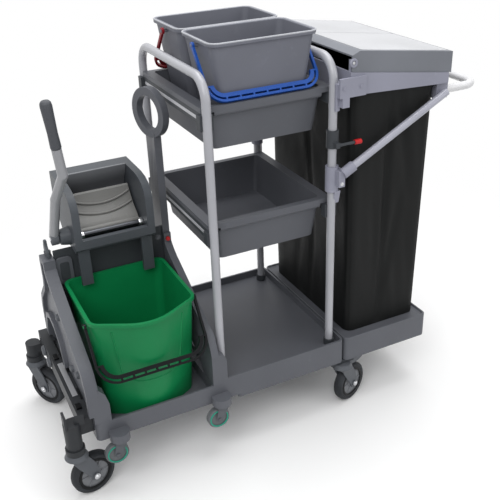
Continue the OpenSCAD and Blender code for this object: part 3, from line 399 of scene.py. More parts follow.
def rounded_edges(mesh, width, segments):
    """A copy of a mesh with its hard edges bevelled and its flat faces shaded flat."""
    shaded(mesh, crease)
    made = placed("work", mesh)
    edge = made.modifiers.new("edges", "BEVEL")
    edge.width = width / 1000
    edge.segments = segments
    edge.limit_method = "ANGLE"
    edge.angle_limit = math.radians(crease)
    edge.harden_normals = True
    return evaluated(made)


def softened(node, width, look=None):
    segments = 3 if width > 2 else 2
    return piece(node + "_soft", rounded_edges(cleaned(node), width, segments), node, look, angle=0)


print("edge helpers ready")

# %% Softened mouldings
radii = {
    "base_deck": 3, "bag_deck": 3, "link_beam": 2, "caster_beam": 4, "beam_plate": 0.6, "left_arm": 4,
    "right_arm": 5, "ring_handle": 6, "lock_button": 1.5, "wringer_bracket": 2, "hoop_collars": 1.5,
    "tray_rails": 2, "rail_clips": 3, "upper_tray": 3.5, "middle_tray": 3.5, "near_pail": 2.5, "far_pail": 2.5,
    "near_pail_bail": 1.2, "far_pail_bail": 1.2, "mop_bucket": 2.5, "mop_bucket_bail": 1.2, "wringer_body": 4,
    "press_rod": 1, "press_plate": 2, "press_shaft": 1.5, "wringer_lever": 1, "lever_grip": 1, "bag_frame": 3,
    "frame_clamps": 4, "lid": 9, "lid_pins": 1, "brace_sockets": 3, "hook_clip": 1.5, "hook_tip": 2,
}
for corner in ("nl", "fl", "nr", "fr"):
    radii.update({f"large_{corner}_fork": 2.5, f"large_{corner}_hub": 1.2, f"large_{corner}_tyre": 1.5})
    radii.update({f"small_{corner}_fork": 1.8, f"small_{corner}_wheel": 1})
# The cross member's darker look is painted shade; the other looks here are the parts' own colours.
looks = {"mop_bucket_bail": ink_black, "caster_beam": beam_painted_shade, "press_rod": dark_rod, "beam_plate": plain_zinc}
for node, radius in radii.items():
    softened(node, radius, looks.get(node))
print(len(radii), "mouldings softened")

# %% [markdown]
# ## Growing trees
# What repeats, or follows a path, could be placed by hand one piece after another. A node tree grows it from points or
# from a line instead: tube along a bent line, screw heads on points and stitches along a hem. Each tree ends as plain
# mesh, so that the piece can be moved with its body.


# %% Growing trees
class Grower:
    """A geometry tree with named inputs."""

    def __init__(self, name, inputs):
        self.tree = bpy.data.node_groups.new(name, "GeometryNodeTree")
        face = self.tree.interface
        face.new_socket("Geometry", in_out="INPUT", socket_type="NodeSocketGeometry")
        for label, kind, value in inputs:
            face.new_socket(label, in_out="INPUT", socket_type="NodeSocket" + kind).default_value = value
        face.new_socket("Look", in_out="INPUT", socket_type="NodeSocketMaterial")
        face.new_socket("Geometry", in_out="OUTPUT", socket_type="NodeSocketGeometry")
        self.given = self.tree.nodes.new("NodeGroupInput").outputs

    def add(self, kind, values=None, settings=None):
        """A node with its inputs linked or set; gives its outputs."""
        made = self.tree.nodes.new(kind)
        for key, value in (settings or {}).items():
            setattr(made, key, value)
        for key, value in (values or {}).items():
            if isinstance(value, bpy.types.NodeSocket):
                self.tree.links.new(value, made.inputs[key])
            else:
                made.inputs[key].default_value = value
        return made.outputs

    def close(self, geometry):
        plain = self.add("GeometryNodeRealizeInstances", {0: geometry})
        dressed = self.add("GeometryNodeSetMaterial", {"Geometry": plain[0], "Material": self.given["Look"]})
        self.tree.links.new(dressed[0], self.tree.nodes.new("NodeGroupOutput").inputs[0])

    def grow(self, lines, look, **values):
        """Mesh grown on polylines, given as (points, closed) in metres."""
        mesh = bpy.data.meshes.new("path")
        verts, edges = [], []
        for points, closed in lines:
            start = len(verts)
            verts += [tuple(p) for p in points]
            edges += [(start + i, start + i + 1) for i in range(len(points) - 1)]
            if closed:
                edges.append((len(verts) - 1, start))
        mesh.from_pydata(verts, edges, [])
        made = placed("path", mesh)
        growth = made.modifiers.new("growth", "NODES")
        growth.node_group = self.tree
        values["Look"] = look
        for item in self.tree.interface.items_tree:
            if item.in_out == "INPUT" and item.name in values:
                growth[item.identifier] = values[item.name]
        return evaluated(made)


print("trees can be grown")

# %% Tube tree
pipe = Grower("pipe", [("Radius", "Float", 0.01), ("Sides", "Int", 24)])
given = pipe.given
line = pipe.add("GeometryNodeMeshToCurve", {"Mesh": given["Geometry"]})
ring = pipe.add("GeometryNodeCurvePrimitiveCircle", {"Resolution": given["Sides"], "Radius": given["Radius"]})
skin = pipe.add("GeometryNodeCurveToMesh", {"Curve": line[0], "Profile Curve": ring[0], "Fill Caps": True})
pipe.close(skin[0])
print("tree: pipe")

# %% Screw tree
screws = Grower("screws", [("Radius", "Float", 0.005), ("Height", "Float", 0.003), ("Facing", "Vector", (0, -1, 0))])
given = screws.given
head = screws.add("GeometryNodeMeshCylinder", {"Vertices": 6, "Radius": given["Radius"], "Depth": given["Height"]})
wide = screws.add("ShaderNodeMath", {0: given["Radius"], 1: 1.5}, {"operation": "MULTIPLY"})
thin = screws.add("ShaderNodeMath", {0: given["Height"], 1: 0.35}, {"operation": "MULTIPLY"})
washer = screws.add("GeometryNodeMeshCylinder", {"Vertices": 20, "Radius": wide[0], "Depth": thin[0]})
both = screws.tree.nodes.new("GeometryNodeJoinGeometry")
screws.tree.links.new(head["Mesh"], both.inputs[0])
screws.tree.links.new(washer["Mesh"], both.inputs[0])
aim = screws.add("FunctionNodeAlignRotationToVector", {"Vector": given["Facing"]}, {"axis": "Z"})
spread = {"Points": given["Geometry"], "Instance": both.outputs[0], "Rotation": aim[0]}
dots = screws.add("GeometryNodeInstanceOnPoints", spread)
screws.close(dots[0])
print("tree: screws")

# %% Stitch tree
stitch = Grower("stitch", [("Spacing", "Float", 0.008), ("Thread", "Float", 0.0006), ("Length", "Float", 0.005)])
given = stitch.given
seam = stitch.add("GeometryNodeMeshToCurve", {"Mesh": given["Geometry"]})
holes = stitch.add("GeometryNodeCurveToPoints", {"Curve": seam[0], "Length": given["Spacing"]}, {"mode": "LENGTH"})
thread = stitch.add("GeometryNodeMeshCylinder", {"Vertices": 6, "Radius": given["Thread"], "Depth": given["Length"]})
spread = {"Points": holes["Points"], "Instance": thread["Mesh"], "Rotation": holes["Rotation"]}
bars = stitch.add("GeometryNodeInstanceOnPoints", spread)
stitch.close(bars[0])
print("tree: stitch")

# %% [markdown]
# ## Bent tube
# The hoops and the push handle are cold-bent steel tube: straight legs, and bends with a radius of two to two and a
# half times the tube's width. They could keep the surface of the solids, but highlights on paint need even faces round
# every bend. So the centre line is drawn with a fine arc at each bend and a round tube is grown along it.


# %% Line helpers
def mm(*values):
    """A point given in millimetres."""
    return Vector(values) / 1000


def rounded_line(points, radius, closed=False, steps=10):
    """Polyline whose corners are arcs of one radius, in the unit of its points."""
    made = []
    count = len(points)
    for i, corner in enumerate(points):
        if not closed and i in (0, count - 1):
            made.append(corner)
            continue
        before = (points[i - 1] - corner).normalized()
        after = (points[(i + 1) % count] - corner).normalized()
        half = before.angle(after) / 2
        reach = radius / math.tan(half)
        middle = corner + (before + after).normalized() * (radius / math.sin(half))
        start, end = corner + before * reach - middle, corner + after * reach - middle
        axis = start.cross(end).normalized()
        sweep = start.angle(end)
        made += [middle + Matrix.Rotation(sweep * k / steps, 3, axis) @ start for k in range(steps + 1)]
    return made


def tube(name, lines, radius, node, look=None, sides=28, stands_for=True):
    """Round tube along polylines, on a node's body."""
    mesh = pipe.grow(lines, look or finish[slot_of[node]], Radius=radius / 1000, Sides=sides)
    return piece(name, mesh, node, look, stands_for)


def bead(name, lines, radius, node, look=None, sides=10):
    """Thin tube that only adds to a node."""
    return tube(name, lines, radius, node, look, sides, False)


print("helpers: rounded_line, tube, bead")

# %% Bent tube
tube_radius, brace_radius = 11, 10
hoop_y, hoop_foot, hoop_top, hoop_bend = 211, 214.2, 1030, 55
handle_y, handle_z, handle_from, handle_to, handle_bend = 203, 900, 470, 615.5, 46
brace_y, brace_over = 236, 14
for node, x in (("left_hoop", -182), ("right_hoop", 154)):
    corners = [mm(x, -hoop_y, hoop_foot), mm(x, -hoop_y, hoop_top), mm(x, hoop_y, hoop_top), mm(x, hoop_y, hoop_foot)]
    tube(node + "_tube", [(rounded_line(corners, hoop_bend / 1000, steps=16), False)], tube_radius, node)
loop = [(handle_from, -handle_y), (handle_to, -handle_y), (handle_to, handle_y), (handle_from, handle_y)]
corners = [mm(x, y, handle_z) for x, y in loop]
tube("push_handle_tube", [(rounded_line(corners, handle_bend / 1000, steps=16), False)], tube_radius, "push_handle")
brace_foot, brace_head = mm(178, 0, 744), mm(472, 0, 898)
brace_head += (brace_head - brace_foot).normalized() * brace_over / 1000
offsets = [mm(0, y, 0) for y in (-brace_y, brace_y)]
tube("brace_tubes", [([brace_foot + o, brace_head + o], False) for o in offsets], brace_radius, "braces")
print("tubes: 2 hoops, push handle, 2 braces")

# %% [markdown]
# ## Turned and bevelled trims
# Small fittings are either turned about an axis, such as bosses, nuts and rings, or cut from sheet and rounded at the
# edge, such as skins and strips. Two helpers make them, because a ready-made cylinder or block has neither the steps
# of a turned profile nor a rounded outline: one turns a profile, the other gives a flat outline a thickness.


# %% Trim helpers
def joined(parts):
    """One mesh from (verts, faces) lists, welded and facing outwards."""
    verts, faces = [], []
    for some, sides in parts:
        faces += [tuple(i + len(verts) for i in side) for side in sides]
        verts += [tuple(v) for v in some]
    mesh = bpy.data.meshes.new("trim")
    mesh.from_pydata(verts, [], faces)
    work = bmesh.new()
    work.from_mesh(mesh)
    bmesh.ops.remove_doubles(work, verts=work.verts, dist=2e-6)
    bmesh.ops.dissolve_degenerate(work, edges=work.edges, dist=1e-6)
    bmesh.ops.recalc_face_normals(work, faces=work.faces)
    work.to_mesh(mesh)
    work.free()
    return mesh


def turned(profile, place, closed=False, count=36):
    """A profile of (radius, height) turned about the Z axis of a matrix."""
    verts, faces = [], []
    for i in range(count):
        angle = 2 * math.pi * i / count
        verts += [place @ mm(r * math.cos(angle), r * math.sin(angle), h) for r, h in profile]
    size = len(profile)
    bands = range(size if closed else size - 1)
    for i in range(count):
        here, there = i * size, (i + 1) % count * size
        faces += [(here + k, there + k, there + (k + 1) % size, here + (k + 1) % size) for k in bands]
    return verts, faces


def plate(outline, thickness, place):
    """A flat outline of (x, y) with a thickness along the Z axis of a matrix."""
    count = len(outline)
    verts = [place @ mm(x, y, h) for h in (0, thickness) for x, y in outline]
    faces = [tuple(reversed(range(count))), tuple(range(count, 2 * count))]
    faces += [(i, (i + 1) % count, count + (i + 1) % count, count + i) for i in range(count)]
    return verts, faces


def rounded_outline(x0, y0, x1, y1, radius):
    """A rectangle with rounded corners, as (x, y)."""
    corners = [Vector((x0, y0, 0)), Vector((x1, y0, 0)), Vector((x1, y1, 0)), Vector((x0, y1, 0))]
    return [(p.x, p.y) for p in rounded_line(corners, radius, True, 6)]


def trim(name, parts, node, look=None, edge=0.0, segments=2):
    """A small fitting on a node's body, with its edges rounded when an edge width is given."""
    mesh = joined(parts)
    if edge:
        return piece(name, rounded_edges(mesh, edge, segments), node, look, False, 0)
    return piece(name, mesh, node, look, False)


print("helpers: turned, plate, trim")


# %% Places for trims
def shifted(x, y, z):
    return Matrix.Translation(mm(x, y, z))


def spun(degrees, axis):
    return Matrix.Rotation(math.radians(degrees), 4, axis)


def facing(x, y, z, towards):
    """A matrix at a point with its Z axis along a direction."""
    return shifted(x, y, z) @ Vector(towards).to_track_quat("Z", "Y").to_matrix().to_4x4()


upright = spun(90, "X")  # for outlines of (x, z), with their thickness towards the near side
edge_on = spun(90, "Z") @ upright  # for outlines of (y, z), with their thickness along x
along_x, against_x = (1, 0, 0), (-1, 0, 0)
print("helpers: shifted, spun, facing")

# %% [markdown]
# ## Lid and rails
# The lid is blow-moulded. Its skirt keeps a darker grey as painted shade, and two paler skins on its top are painted
# light; the crease between them shows the darker grey as a seam. Rings of the same plastic stiffen the hinge eyes.
# The tray rails carry a pale wear strip along the side that the trays' flanges slide past. Paint alone could show the
# skins and strips, but their thin edges catch the light, so they are thin plates.

# %% Lid and rails
lid_back_x, lid_back_z, lid_front_x, lid_front_z = 214, 1045.27, 496, 1006.85
hinge_x, hinge_z, eye_y = 196, 1018, 233
lid_slope = math.atan2(lid_front_z - lid_back_z, lid_front_x - lid_back_x)
lid_plane = shifted(lid_back_x, 0, lid_back_z) @ Matrix.Rotation(-lid_slope, 4, "Y") @ shifted(0, 0, -0.4)
# painted light: two pale plates on the lid's top stand for the light falling on it; the lid under them keeps its darker
# grey as painted shade
skins = [plate(rounded_outline(9, y0, 276, y1, 9), 1.6, lid_plane) for y0, y1 in ((-224, 11), (15, 224))]
trim("lid_painted_light_skins", skins, "lid", lid_top_painted_light, 0.8)
eye_ring = [(5.0, -0.5), (5.0, 2.0), (6.0, 2.8), (9.5, 2.8), (11.0, 1.6), (11.4, -0.5)]
eyes = [turned(eye_ring, facing(hinge_x, eye_y * s, hinge_z, (0, s, 0)), True) for s in (-1, 1)]
trim("lid_eye_rings", eyes, "lid", finish["bag_frame_grey"])
strip = rounded_outline(-178, -4, 178, 4, 3.5)
strips = []
for x, flip in ((-189.8, 180), (161.8, 0)):
    for rail_z in (934, 639):
        strips.append(plate(strip, 1.4, shifted(x, 0, rail_z) @ edge_on @ spun(flip, "X")))
trim("rail_strips", strips, "tray_rails", strip_pale, 0.6)
print("lid skins, eye rings and rail strips")

# %% [markdown]
# ## Pail rims and bucket panel
# The pails' rims catch the light, so each gets a thin cap bead along its rolled edge, paler than the pail as a painted
# highlight. The bucket's front has a raised U that stiffens the wall. Its path could be worked out on the bowed wall,
# but it is simpler to draw it on a flat plane and throw it on to the wall, so that the bead follows the surface.

# %% Pail rims
pail_x, pail_y, pail_half_x, pail_half_y = -14, 97, 142, 93
bead_inset, bead_z, bead_corner = 1.2, 1097.2, 24.8
reach_x, reach_y = pail_half_x - bead_inset, pail_half_y - bead_inset
# painted highlight: the beads take the paler rim grey
for node, y in (("near_pail", -pail_y), ("far_pail", pail_y)):
    outline = rounded_outline(pail_x - reach_x, y - reach_y, pail_x + reach_x, y + reach_y, bead_corner)
    bead(node + "_bead", [([mm(x, v, bead_z) for x, v in outline], True)], 2.2, node, rim_painted_highlight)
print("2 pail beads")

# %% Bucket panel
bucket_x, panel_top, panel_low, throw_from = -374, 455, 300, -400
wall = nodes["mop_bucket"].data
shell = BVHTree.FromPolygons([v.co.copy() for v in wall.vertices], [tuple(f.vertices) for f in wall.polygons])
panel_u = [(-92, panel_top), (-74, panel_low), (74, panel_low), (92, panel_top)]
flat = [mm(bucket_x + x, throw_from, z) for x, z in panel_u]
drawn = []
for spot in rounded_line(flat, 0.045, steps=12):
    if drawn:
        before = drawn[-1]
        steps = max(1, int((spot - before).length / 0.008))
        drawn += [before.lerp(spot, (k + 1) / steps) for k in range(steps)]
    else:
        drawn.append(spot)
thrown = [shell.ray_cast(spot, Vector((0, 1, 0)))[0] for spot in drawn]
bead("bucket_panel_bead", [([p + mm(0, 0.6, 0) for p in thrown if p], False)], 2.6, "mop_bucket")
print("a bead of", len(thrown), "points on the bucket")

# %% [markdown]
# ## Mop press
# The plate that squeezes the mop is hollow, with two curved ridges that grip it, and a bowed apron closes the top of
# the housing. The ridges could be cut into the plate, but a round bead that follows the hollow has the soft shoulders
# of the moulded ones.

# %% Mop press
shaft_y, shaft_z, press_x = 65, 599, -367
ridge_half, ridge_bow, ridge_step, ridge_lift = 80, 20, 4, 0.4
plate_lean = math.radians(45)


def plate_face(u):
    """Height of the hollow face over the plate's middle plane, at u from the shaft."""
    table = [(0, 9), (17.3, 9), (30.2, 6), (48.6, 3.6), (67, 3.6), (86.4, 6), (101.5, 10), (108, 9)]
    for (a, va), (b, vb) in zip(table, table[1:]):
        if u <= b:
            return va + (vb - va) * (u - a) / (b - a)
    return table[-1][1]


ridges = []
for top in (88, 58):
    path = []
    for across in range(-ridge_half, ridge_half + 1, ridge_step):
        u = top - ridge_bow * (1 - (across / ridge_half) ** 2)
        v = plate_face(u) + ridge_lift
        y = shaft_y + u * math.cos(plate_lean) - v * math.sin(plate_lean)
        z = shaft_z + u * math.sin(plate_lean) + v * math.cos(plate_lean)
        path.append(mm(press_x + across, y, z))
    ridges.append((path, False))
bead("press_ridges", ridges, 3.6, "press_plate", None, 12)
bow = [(148, 731.6), (150, 722), (155, 710), (163, 697), (172, 684), (180, 670), (185, 657), (187, 645)]
section = bow + [(y + 4.2, z + 1.8) for y, z in reversed(bow)]
apron = plate(section, 175, shifted(-454.5, 0, 0) @ edge_on)
trim("press_apron", [apron], "wringer_body", finish["hub_grey"], 1.0)
print("ridges and apron of the press")

# %% [markdown]
# ## Shaft and rod ends
# The shaft ends in a bright nut on one side and in the lever's boot and the housing's boss on the other, and the rod
# across the mouth has a bright sleeve at each end. All of them are lathe work, so their profiles are turned.

# %% Shaft and rod ends
rod_y, rod_z, lever_x, boss_x = 42, 603, -524, -502.5
nut = [(0, 8.5), (3.5, 8.0), (6.0, 6.4), (7.4, 4.0), (8.2, 3.6), (10.0, 3.2), (10.4, 0.5), (0, 0.5)]
trim("shaft_nut", [turned(nut, facing(-254, shaft_y, shaft_z, along_x))], "press_shaft", finish["chrome_rod"])
sleeve = [(7.05, 0), (8.2, 0.2), (8.6, 1.0), (8.6, 11), (8.2, 12), (7.05, 12.2)]
ends = [facing(-454, rod_y, rod_z, along_x), facing(-280, rod_y, rod_z, against_x)]
trim("rod_sleeves", [turned(sleeve, end, True) for end in ends], "press_rod", finish["chrome_rod"])
boot = [(15.1, 0), (16.4, 0.4), (17, 2), (17, 18), (16.4, 19.6), (15.1, 20)]
boot += [(9, 20.6), (6.2, 20.8), (6.2, -0.8), (9, -0.6)]
boot_ring = turned(boot, facing(lever_x, shaft_y, shaft_z, along_x), True)
trim("lever_boot", [boot_ring], "wringer_lever", finish["fork_grey"])
boss = [(8, 0), (17, 0.4), (20, 2), (22.5, 12), (24.5, 24), (25, 28), (8, 28)]
trim("shaft_boss", [turned(boss, facing(boss_x, shaft_y, shaft_z, along_x), True)], "wringer_body")
print("nut, rod sleeves, lever boot and shaft boss of the press")

# %% [markdown]
# ## Bucket end
# The top of the left arm is closed by a moulded crown that laps over the plate of the press, with a catch for the
# press beside it. The cross member below carries small black clips, and bolts show on the arm. They are too small for
# solids of their own, so they are plates and turned heads on the arm and the member.

# %% Bucket end
crown_y, arm_outer_x, beam_top_z = 60, -545, 239.8
crown = rounded_outline(-524.6, 466, -479, 546, 14)
trim("arm_crown", [plate(crown, 5.6, shifted(0, crown_y, 0) @ upright)], "left_arm", None, 2.2, 3)
# painted shade: a thin dark plate on the crown's face stands for the shade in its recess
panel = plate(rounded_outline(-514, 478, -489, 531, 7), 0.8, shifted(0, crown_y, 0) @ upright @ shifted(0, 0, 5.3))
trim("crown_painted_shade", [panel], "left_arm", finish["dark_plastic"], 0.4)
catch = [(58, 546), (100, 546), (97, 574), (86, 594), (76, 594), (73, 580), (60, 566)]
trim("arm_catch", [plate(catch, 8, shifted(-541, 0, 0) @ edge_on)], "left_arm", finish["press_grey"], 2.5, 3)
clips = [  # x0, y0, x1, y1, height
    (-574, -188, -560, -168, 7),
    (-553, -150, -547, -100, 3),
    (-553, -20, -547, 150, 2.4),
    (-572, 52, -558, 78, 5),
]
pads = [plate(rounded_outline(*box, 2.6), height, shifted(0, 0, beam_top_z)) for *box, height in clips]
trim("beam_clips", pads, "caster_beam", ink_black, 0.8)
web_bolt = [(0, 9), (5, 8.6), (8.6, 6.6), (10, 3), (10.4, -0.6), (0, -0.6)]
spots = [(-66, 282), (-128, 300), (20, 392)]
heads = [turned(web_bolt, facing(arm_outer_x, y, z, against_x), count=24) for y, z in spots]
trim("arm_bolts", heads, "left_arm", finish["fork_grey"])
print("crown, catch, clips and bolts of the bucket end")

# %% [markdown]
# ## Large castors
# Each large castor has a bell over its swivel bearing, ribs and a dark band on its hub and bright bolts at its axle.
# The two at the bag end also have a tail that locks them when it is trodden down. One loop makes all four, since they
# differ only in where their stems stand and how far they are turned.

# %% Large castors
large = {"nl": (-600, -228, 13), "fl": (-600, 228, -55), "nr": (190, -230, 21), "fr": (190, 230, -30)}
trail, axle_z = 36, 60
rib_y, rib_from, rib_to, rib_count = 10.6, 19.5, 41, 6
bell_shape = [(23.2, 146.6), (24.6, 146.6), (26.0, 144), (27.5, 139), (30.0, 135.5), (30.4, 134), (23.2, 134)]
bolt = [(0, 4.6), (2.6, 4.4), (4.6, 3.4), (5.6, 1.4), (8.4, 1.2), (8.8, -0.6), (0, -0.6)]
band = [(38.5, 0), (46.6, 0), (46.6, 1.2), (44.0, 2.0), (40.0, 2.0), (38.5, 1.2)]
tail = [(8, 146.2), (58, 146.0), (78, 141), (85, 134), (80, 129), (66, 126), (48, 125.5), (10, 133)]
tail_width = 30


def both_faces(stand, reach):
    """Matrices on the two faces of a wheel, with Z outwards."""
    return [stand @ shifted(trail, reach * s, axle_z) @ spun(-90 * s, "X") for s in (-1, 1)]


for corner, (x, y, yaw) in large.items():
    fork, hub = f"large_{corner}_fork", f"large_{corner}_hub"
    stand = shifted(x, y, 0) @ spun(yaw, "Z")
    trim(f"large_{corner}_bell", [turned(bell_shape, stand, True)], fork)
    heads = [turned(bolt, face, count=24) for face in both_faces(stand, 25)]
    trim(f"large_{corner}_bolts", heads, fork, finish["steel"])
    ribs = []
    for s in (-1, 1):
        middle = mm(trail, rib_y * s, axle_z)
        for k in range(rib_count):
            angle = 2 * math.pi * k / rib_count
            ray = Vector((math.cos(angle), 0, math.sin(angle))) / 1000
            ribs.append(([stand @ (middle + ray * rib_from), stand @ (middle + ray * rib_to)], False))
    bead(f"large_{corner}_ribs", ribs, 2.0, hub, None, 8)
    bands = [turned(band, face, True, 48) for face in both_faces(stand, 12.4)]
    trim(f"large_{corner}_bands", bands, hub, ink_black)
    if corner in ("nr", "fr"):
        lock = plate(tail, tail_width, stand @ shifted(0, tail_width / 2, 0) @ upright)
        trim(f"large_{corner}_tail", [lock], fork, None, 3.0, 3)
print("bells, bolts, ribs, bands and tails of", len(large), "castors")

# %% [markdown]
# ## Small rollers and knobs
# The small wheels carry a green ring on each face, which is a bead along a circle. Two turned knobs on the cross member
# hold its hooks.

# %% Small rollers and knobs
small = {"nl": (-490, -258), "fl": (-490, 258), "nr": (-207, -258), "fr": (-207, 258)}
small_trail, small_z, ring_radius, ring_y, ring_count = 14, 130, 24.5, 9.2, 48
around = [2 * math.pi * k / ring_count for k in range(ring_count)]
circle = [(ring_radius * math.cos(a) - small_trail, ring_radius * math.sin(a) + small_z) for a in around]
for corner, (x, y) in small.items():
    rings = [([mm(x + u, y + ring_y * s, z) for u, z in circle], True) for s in (-1, 1)]
    bead(f"small_{corner}_rings", rings, 1.9, f"small_{corner}_wheel", ring_green)
knob = [(0, 10.5), (9, 10), (13, 8.4), (15, 5), (15.4, 1.6), (13.5, 0), (0, -0.6)]
knobs = [turned(knob, facing(-577.6, y, 217, against_x)) for y in (86, 150)]
trim("beam_knobs", knobs, "caster_beam", finish["fork_grey"])
print("green rings of", len(small), "rollers, and", len(knobs), "knobs")

# %% [markdown]
# ## Screws
# The clamps, the sockets and the plate under the press are fixed with hexagon-headed screws on washers. One tree grows
# them all on points, so that a screw is placed by its spot and its direction alone.

# %% Screws
near, far = (0, -1, 0), (0, 1, 0)
apron_heights = (450, 535)
apron_ends = [(x, 68, z) for x in (-512, -236) for z in apron_heights]
screw_height = 0.005  # metres, as are the radii below
clamp_look, socket_look = finish["bag_frame_grey"], finish["steel"]
groups = [
    ("clamp_screws_near", "frame_clamps", clamp_look, near, 0.0042, [(166, -242, 962), (214, -242, 962)]),
    ("clamp_screws_far", "frame_clamps", clamp_look, far, 0.0042, [(166, 242, 962), (214, 242, 962)]),
    ("socket_screws_near", "brace_sockets", socket_look, near, 0.0036, [(167, -240, 715)]),
    ("socket_screws_far", "brace_sockets", socket_look, far, 0.0036, [(167, 240, 715)]),
    ("apron_screws", "wringer_bracket", dark_rod, near, 0.005, [(-236, 60, z) for z in apron_heights]),
    ("apron_screw_ends", "wringer_bracket", dark_rod, far, 0.005, apron_ends),
]
for name, node, look, towards, radius, spots in groups:
    points = [([mm(*spot)], False) for spot in spots]
    mesh = screws.grow(points, look, Radius=radius, Height=screw_height, Facing=towards)
    piece(name, mesh, node, look, stands_for=False)
print(sum(len(group[-1]) for group in groups), "screws")

# %% [markdown]
# ## Waste bag
# The bag is one sheet of coated fabric sewn to a box and hung by its hem inside the frame. Cloth that hangs full of
# air keeps its corners, sinks a little between them and creases where it was folded in the packet. It could be
# dropped with a cloth solver, but a formula gives the same folds every time. The folds are pushed inwards, and the
# slow waves bulge the sides by a millimetre at most, so that the bag stays inside its frame.

# %% Bag folds
bag_x, bag_half_x, bag_half_y, bag_corner, bag_flare = 333, 120, 213, 24, 8
side_points = 44


def bag_ring(half_x, half_y):
    """Points, outward normals, place along the side (-1 to 1) and side number of a rounded rectangle."""
    made = []
    wide, deep = (half_x, half_y), (half_y, half_x)
    sides = [((1, 0), wide), ((0, 1), deep), ((-1, 0), wide), ((0, -1), deep)]
    for number, (along, (reach, away)) in enumerate(sides):
        out = (along[1], -along[0])
        for i in range(side_points):
            s = -1 + 2 * (i + 0.5) / side_points
            flat = s * reach
            over = max(0.0, abs(flat) - (reach - bag_corner))
            lean = math.asin(min(1.0, over / bag_corner))
            depth = away - bag_corner + bag_corner * math.cos(lean)
            made.append((along[0] * flat + out[0] * depth, along[1] * flat + out[1] * depth, out, s, number))
    return made


def hump(value, middle, width):
    return math.exp(-(((value - middle) / width) ** 2))


waves = []
for k in range(7):
    across, upwards = random.uniform(2, 7), random.uniform(1, 4)
    waves.append((across, upwards, random.uniform(0, 6.28), random.uniform(0.3, 1)))


def bag_sink(side, s, t):
    """How far the cloth lies inside its box, at s across a side and t up it."""
    middle = (1 - s * s) ** 1.2
    sink = 7.0 * math.sin(math.pi * min(1.0, t * 1.05)) * middle
    if side in (0, 2):
        sink += 9.0 * hump(s, -0.1 + 0.06 * math.sin(3 * t), 0.07) * hump(t, 0.5, 0.45)
        sink += 3.0 * hump(s, -0.28, 0.16) * hump(t, 0.35, 0.3)
        sink += 5.0 * hump(s - 0.9 * (t - 0.3), 0.1, 0.1) * hump(t, 0.3, 0.22)
        sink += 5.0 * hump(s + 0.8 * (t - 0.75), 0.35, 0.1) * hump(t, 0.8, 0.15)
    else:
        sink += 6.0 * hump(s, 0.05 * math.sin(5 * t), 0.05) * hump(t, 0.5, 0.5)
        sink += 4.0 * hump(s - 0.5 * t, -0.4, 0.08) * hump(t, 0.4, 0.3)
    wave = sum(a * math.sin(f * 3 * s + g * 6 * t + p + side) for f, g, p, a in waves)
    return max(-1.0, sink + 0.7 * wave * middle)


print("folds written, with", len(waves), "slow waves")

# %% [markdown]
# ## Bag shell
# The shell is lofted ring by ring from the bottom to the hem, and the bottom is closed with smaller rings. It is then
# given the thickness of the fabric, inwards.

# %% Bag shell
rows, bag_low, bag_high, bag_floor = 64, 232.0, 949.0, 231.8
fabric = 0.0011  # metres
per = 4 * side_points
verts, quads = [], []
for k in range(rows + 1):
    t = k / rows
    z = bag_low + (bag_high - bag_low) * t
    for x, y, out, s, side in bag_ring(bag_half_x + bag_flare * t, bag_half_y + bag_flare * t):
        sink = bag_sink(side, s, t) if k not in (0, rows) else 0.0
        verts.append(mm(bag_x + x - out[0] * sink, y - out[1] * sink, z))
for low in range(0, rows * per, per):
    high = low + per
    quads += [(low + i, low + (i + 1) % per, high + (i + 1) % per, high + i) for i in range(per)]
outer = 0
for scale in (0.93, 0.8, 0.6, 0.35, 0.1):
    inner = len(verts)
    verts += [mm(bag_x + x * scale, y * scale, bag_floor) for x, y, *rest in bag_ring(bag_half_x, bag_half_y)]
    quads += [(inner + i, inner + (i + 1) % per, outer + (i + 1) % per, outer + i) for i in range(per)]
    outer = inner
quads.append(tuple(outer + i for i in reversed(range(per))))
mesh = bpy.data.meshes.new("bag")
mesh.from_pydata(verts, [], quads)
work = bmesh.new()
work.from_mesh(mesh)
bmesh.ops.remove_doubles(work, verts=work.verts, dist=1e-6)
bmesh.ops.recalc_face_normals(work, faces=work.faces)
cloth_area = sum(f.calc_area() for f in work.faces)
work.to_mesh(mesh)
work.free()
made = placed("work", mesh)
thick = made.modifiers.new("thickness", "SOLIDIFY")
thick.thickness = fabric
thick.offset = -1
bag = piece("waste_bag_cloth", evaluated(made), "waste_bag", angle=70)
print("bag", round(cloth_area, 3), "square metres of cloth")

# %% [markdown]
# ## Bag hem
# The hem is sewn with one row of stitches a little below its edge. A drawn line would do from afar, but grown threads
# stand up from the cloth.

# %% Bag hem
hem_z, hem_half_x, hem_half_y, thread_out = 932, 127.4, 220.4, 0.4
hem = bag_ring(hem_half_x, hem_half_y)
hem_line = [mm(bag_x + x + thread_out * out[0], y + thread_out * out[1], hem_z) for x, y, out, *rest in hem]
mesh = stitch.grow([(hem_line, True)], ink_black, Spacing=0.008, Thread=0.0007, Length=0.0055)
stitches = piece("bag_stitches", mesh, "waste_bag", ink_black, stands_for=False)
print("hem of", len(hem_line), "points stitched")

# %% [markdown]
# ## Studio floor
# The cart stands on a white floor that fades out around it, so that only the shadow is left on the white. An endless
# floor would show a horizon instead.

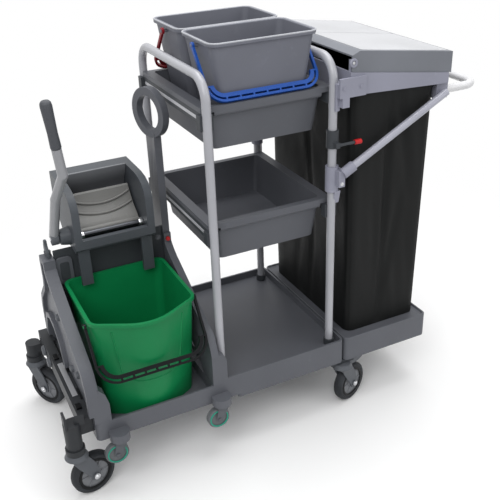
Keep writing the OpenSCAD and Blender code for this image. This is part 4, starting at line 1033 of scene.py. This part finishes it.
# %% Studio floor
floor_reach = 9  # metres
fade_from, fade_to = 0.75, 1.5  # metres from the middle
floor_corners = [(-floor_reach, -floor_reach), (floor_reach, -floor_reach)]
floor_corners += [(floor_reach, floor_reach), (-floor_reach, floor_reach)]
floor_mesh = bpy.data.meshes.new("floor")
floor_mesh.from_pydata([(x, y, 0) for x, y in floor_corners], [], [(0, 1, 2, 3)])
floor = placed("floor", floor_mesh)
ground, tree, shader, place = blank("studio_floor")
plug(tree, shader.inputs["Base Color"], place.noise(3.0, 2.0).colour([0.95, 0.95, 0.95, 1], [0.97, 0.97, 0.97, 1]))
away = place.node("VectorMath", {"operation": "LENGTH"}, {0: place.stretched(0.8, 1.0, 0.0)}, out="Value")
fade = away.node("MapRange", {"clamp": True}, {0: away, 1: fade_from, 2: fade_to, 3: 1.0, 4: 0.0})
plug(tree, shader.inputs["Alpha"], fade)
shader.inputs["Roughness"].default_value = 0.9
shader.inputs["Specular IOR Level"].default_value = 0.0
floor_mesh.materials.append(ground)
print("floor of", 2 * floor_reach, "metres")

# %% [markdown]
# ## Lights and room
# One large soft light comes from above the near left, a weaker one from the right and one from straight above, as in a
# product studio. The room is white where it is seen and dimmer where it lights, so that the shadows keep their depth.


# %% Lights and room
def soft_light(name, place, target, size, power):
    """A square soft light; metres and watts."""
    lamp = bpy.data.lights.new(name, "AREA")
    lamp.size = size
    lamp.energy = power
    made = placed(name, lamp)
    made.location = place
    made.rotation_euler = (Vector(target) - Vector(place)).to_track_quat("-Z", "Y").to_euler()


soft_light("key", (-1.9, -2.4, 3.3), (0, 0, 0.5), 2.4, 68)
soft_light("fill", (2.4, -2.6, 1.9), (0, 0, 0.6), 2.0, 20)
soft_light("top", (0.3, 0.4, 3.6), (0, 0, 0.5), 2.6, 82)
room_light, room_seen = 0.52, 1.0
world = bpy.data.worlds.new("room")
bpy.context.scene.world = world
world.use_nodes = True
tree = world.node_tree
tree.nodes.clear()
rays = tree.nodes.new("ShaderNodeLightPath").outputs
seen = Sum(tree, rays["Is Camera Ray"]) + Sum(tree, rays["Is Glossy Ray"]) + Sum(tree, rays["Is Transmission Ray"])
dim = seen.node("Background", None, {"Color": (1, 1, 1, 1), "Strength": room_light})
white = seen.node("Background", None, {"Color": (1, 1, 1, 1), "Strength": room_seen})
mixed = seen.node("MixShader", None, {0: seen.between(0.0, 1.0), 1: dim, 2: white})
tree.links.new(mixed.socket, tree.nodes.new("ShaderNodeOutputWorld").inputs["Surface"])
bpy.context.scene.view_settings.view_transform = "Standard"
print("studio: three soft lights and a white room")
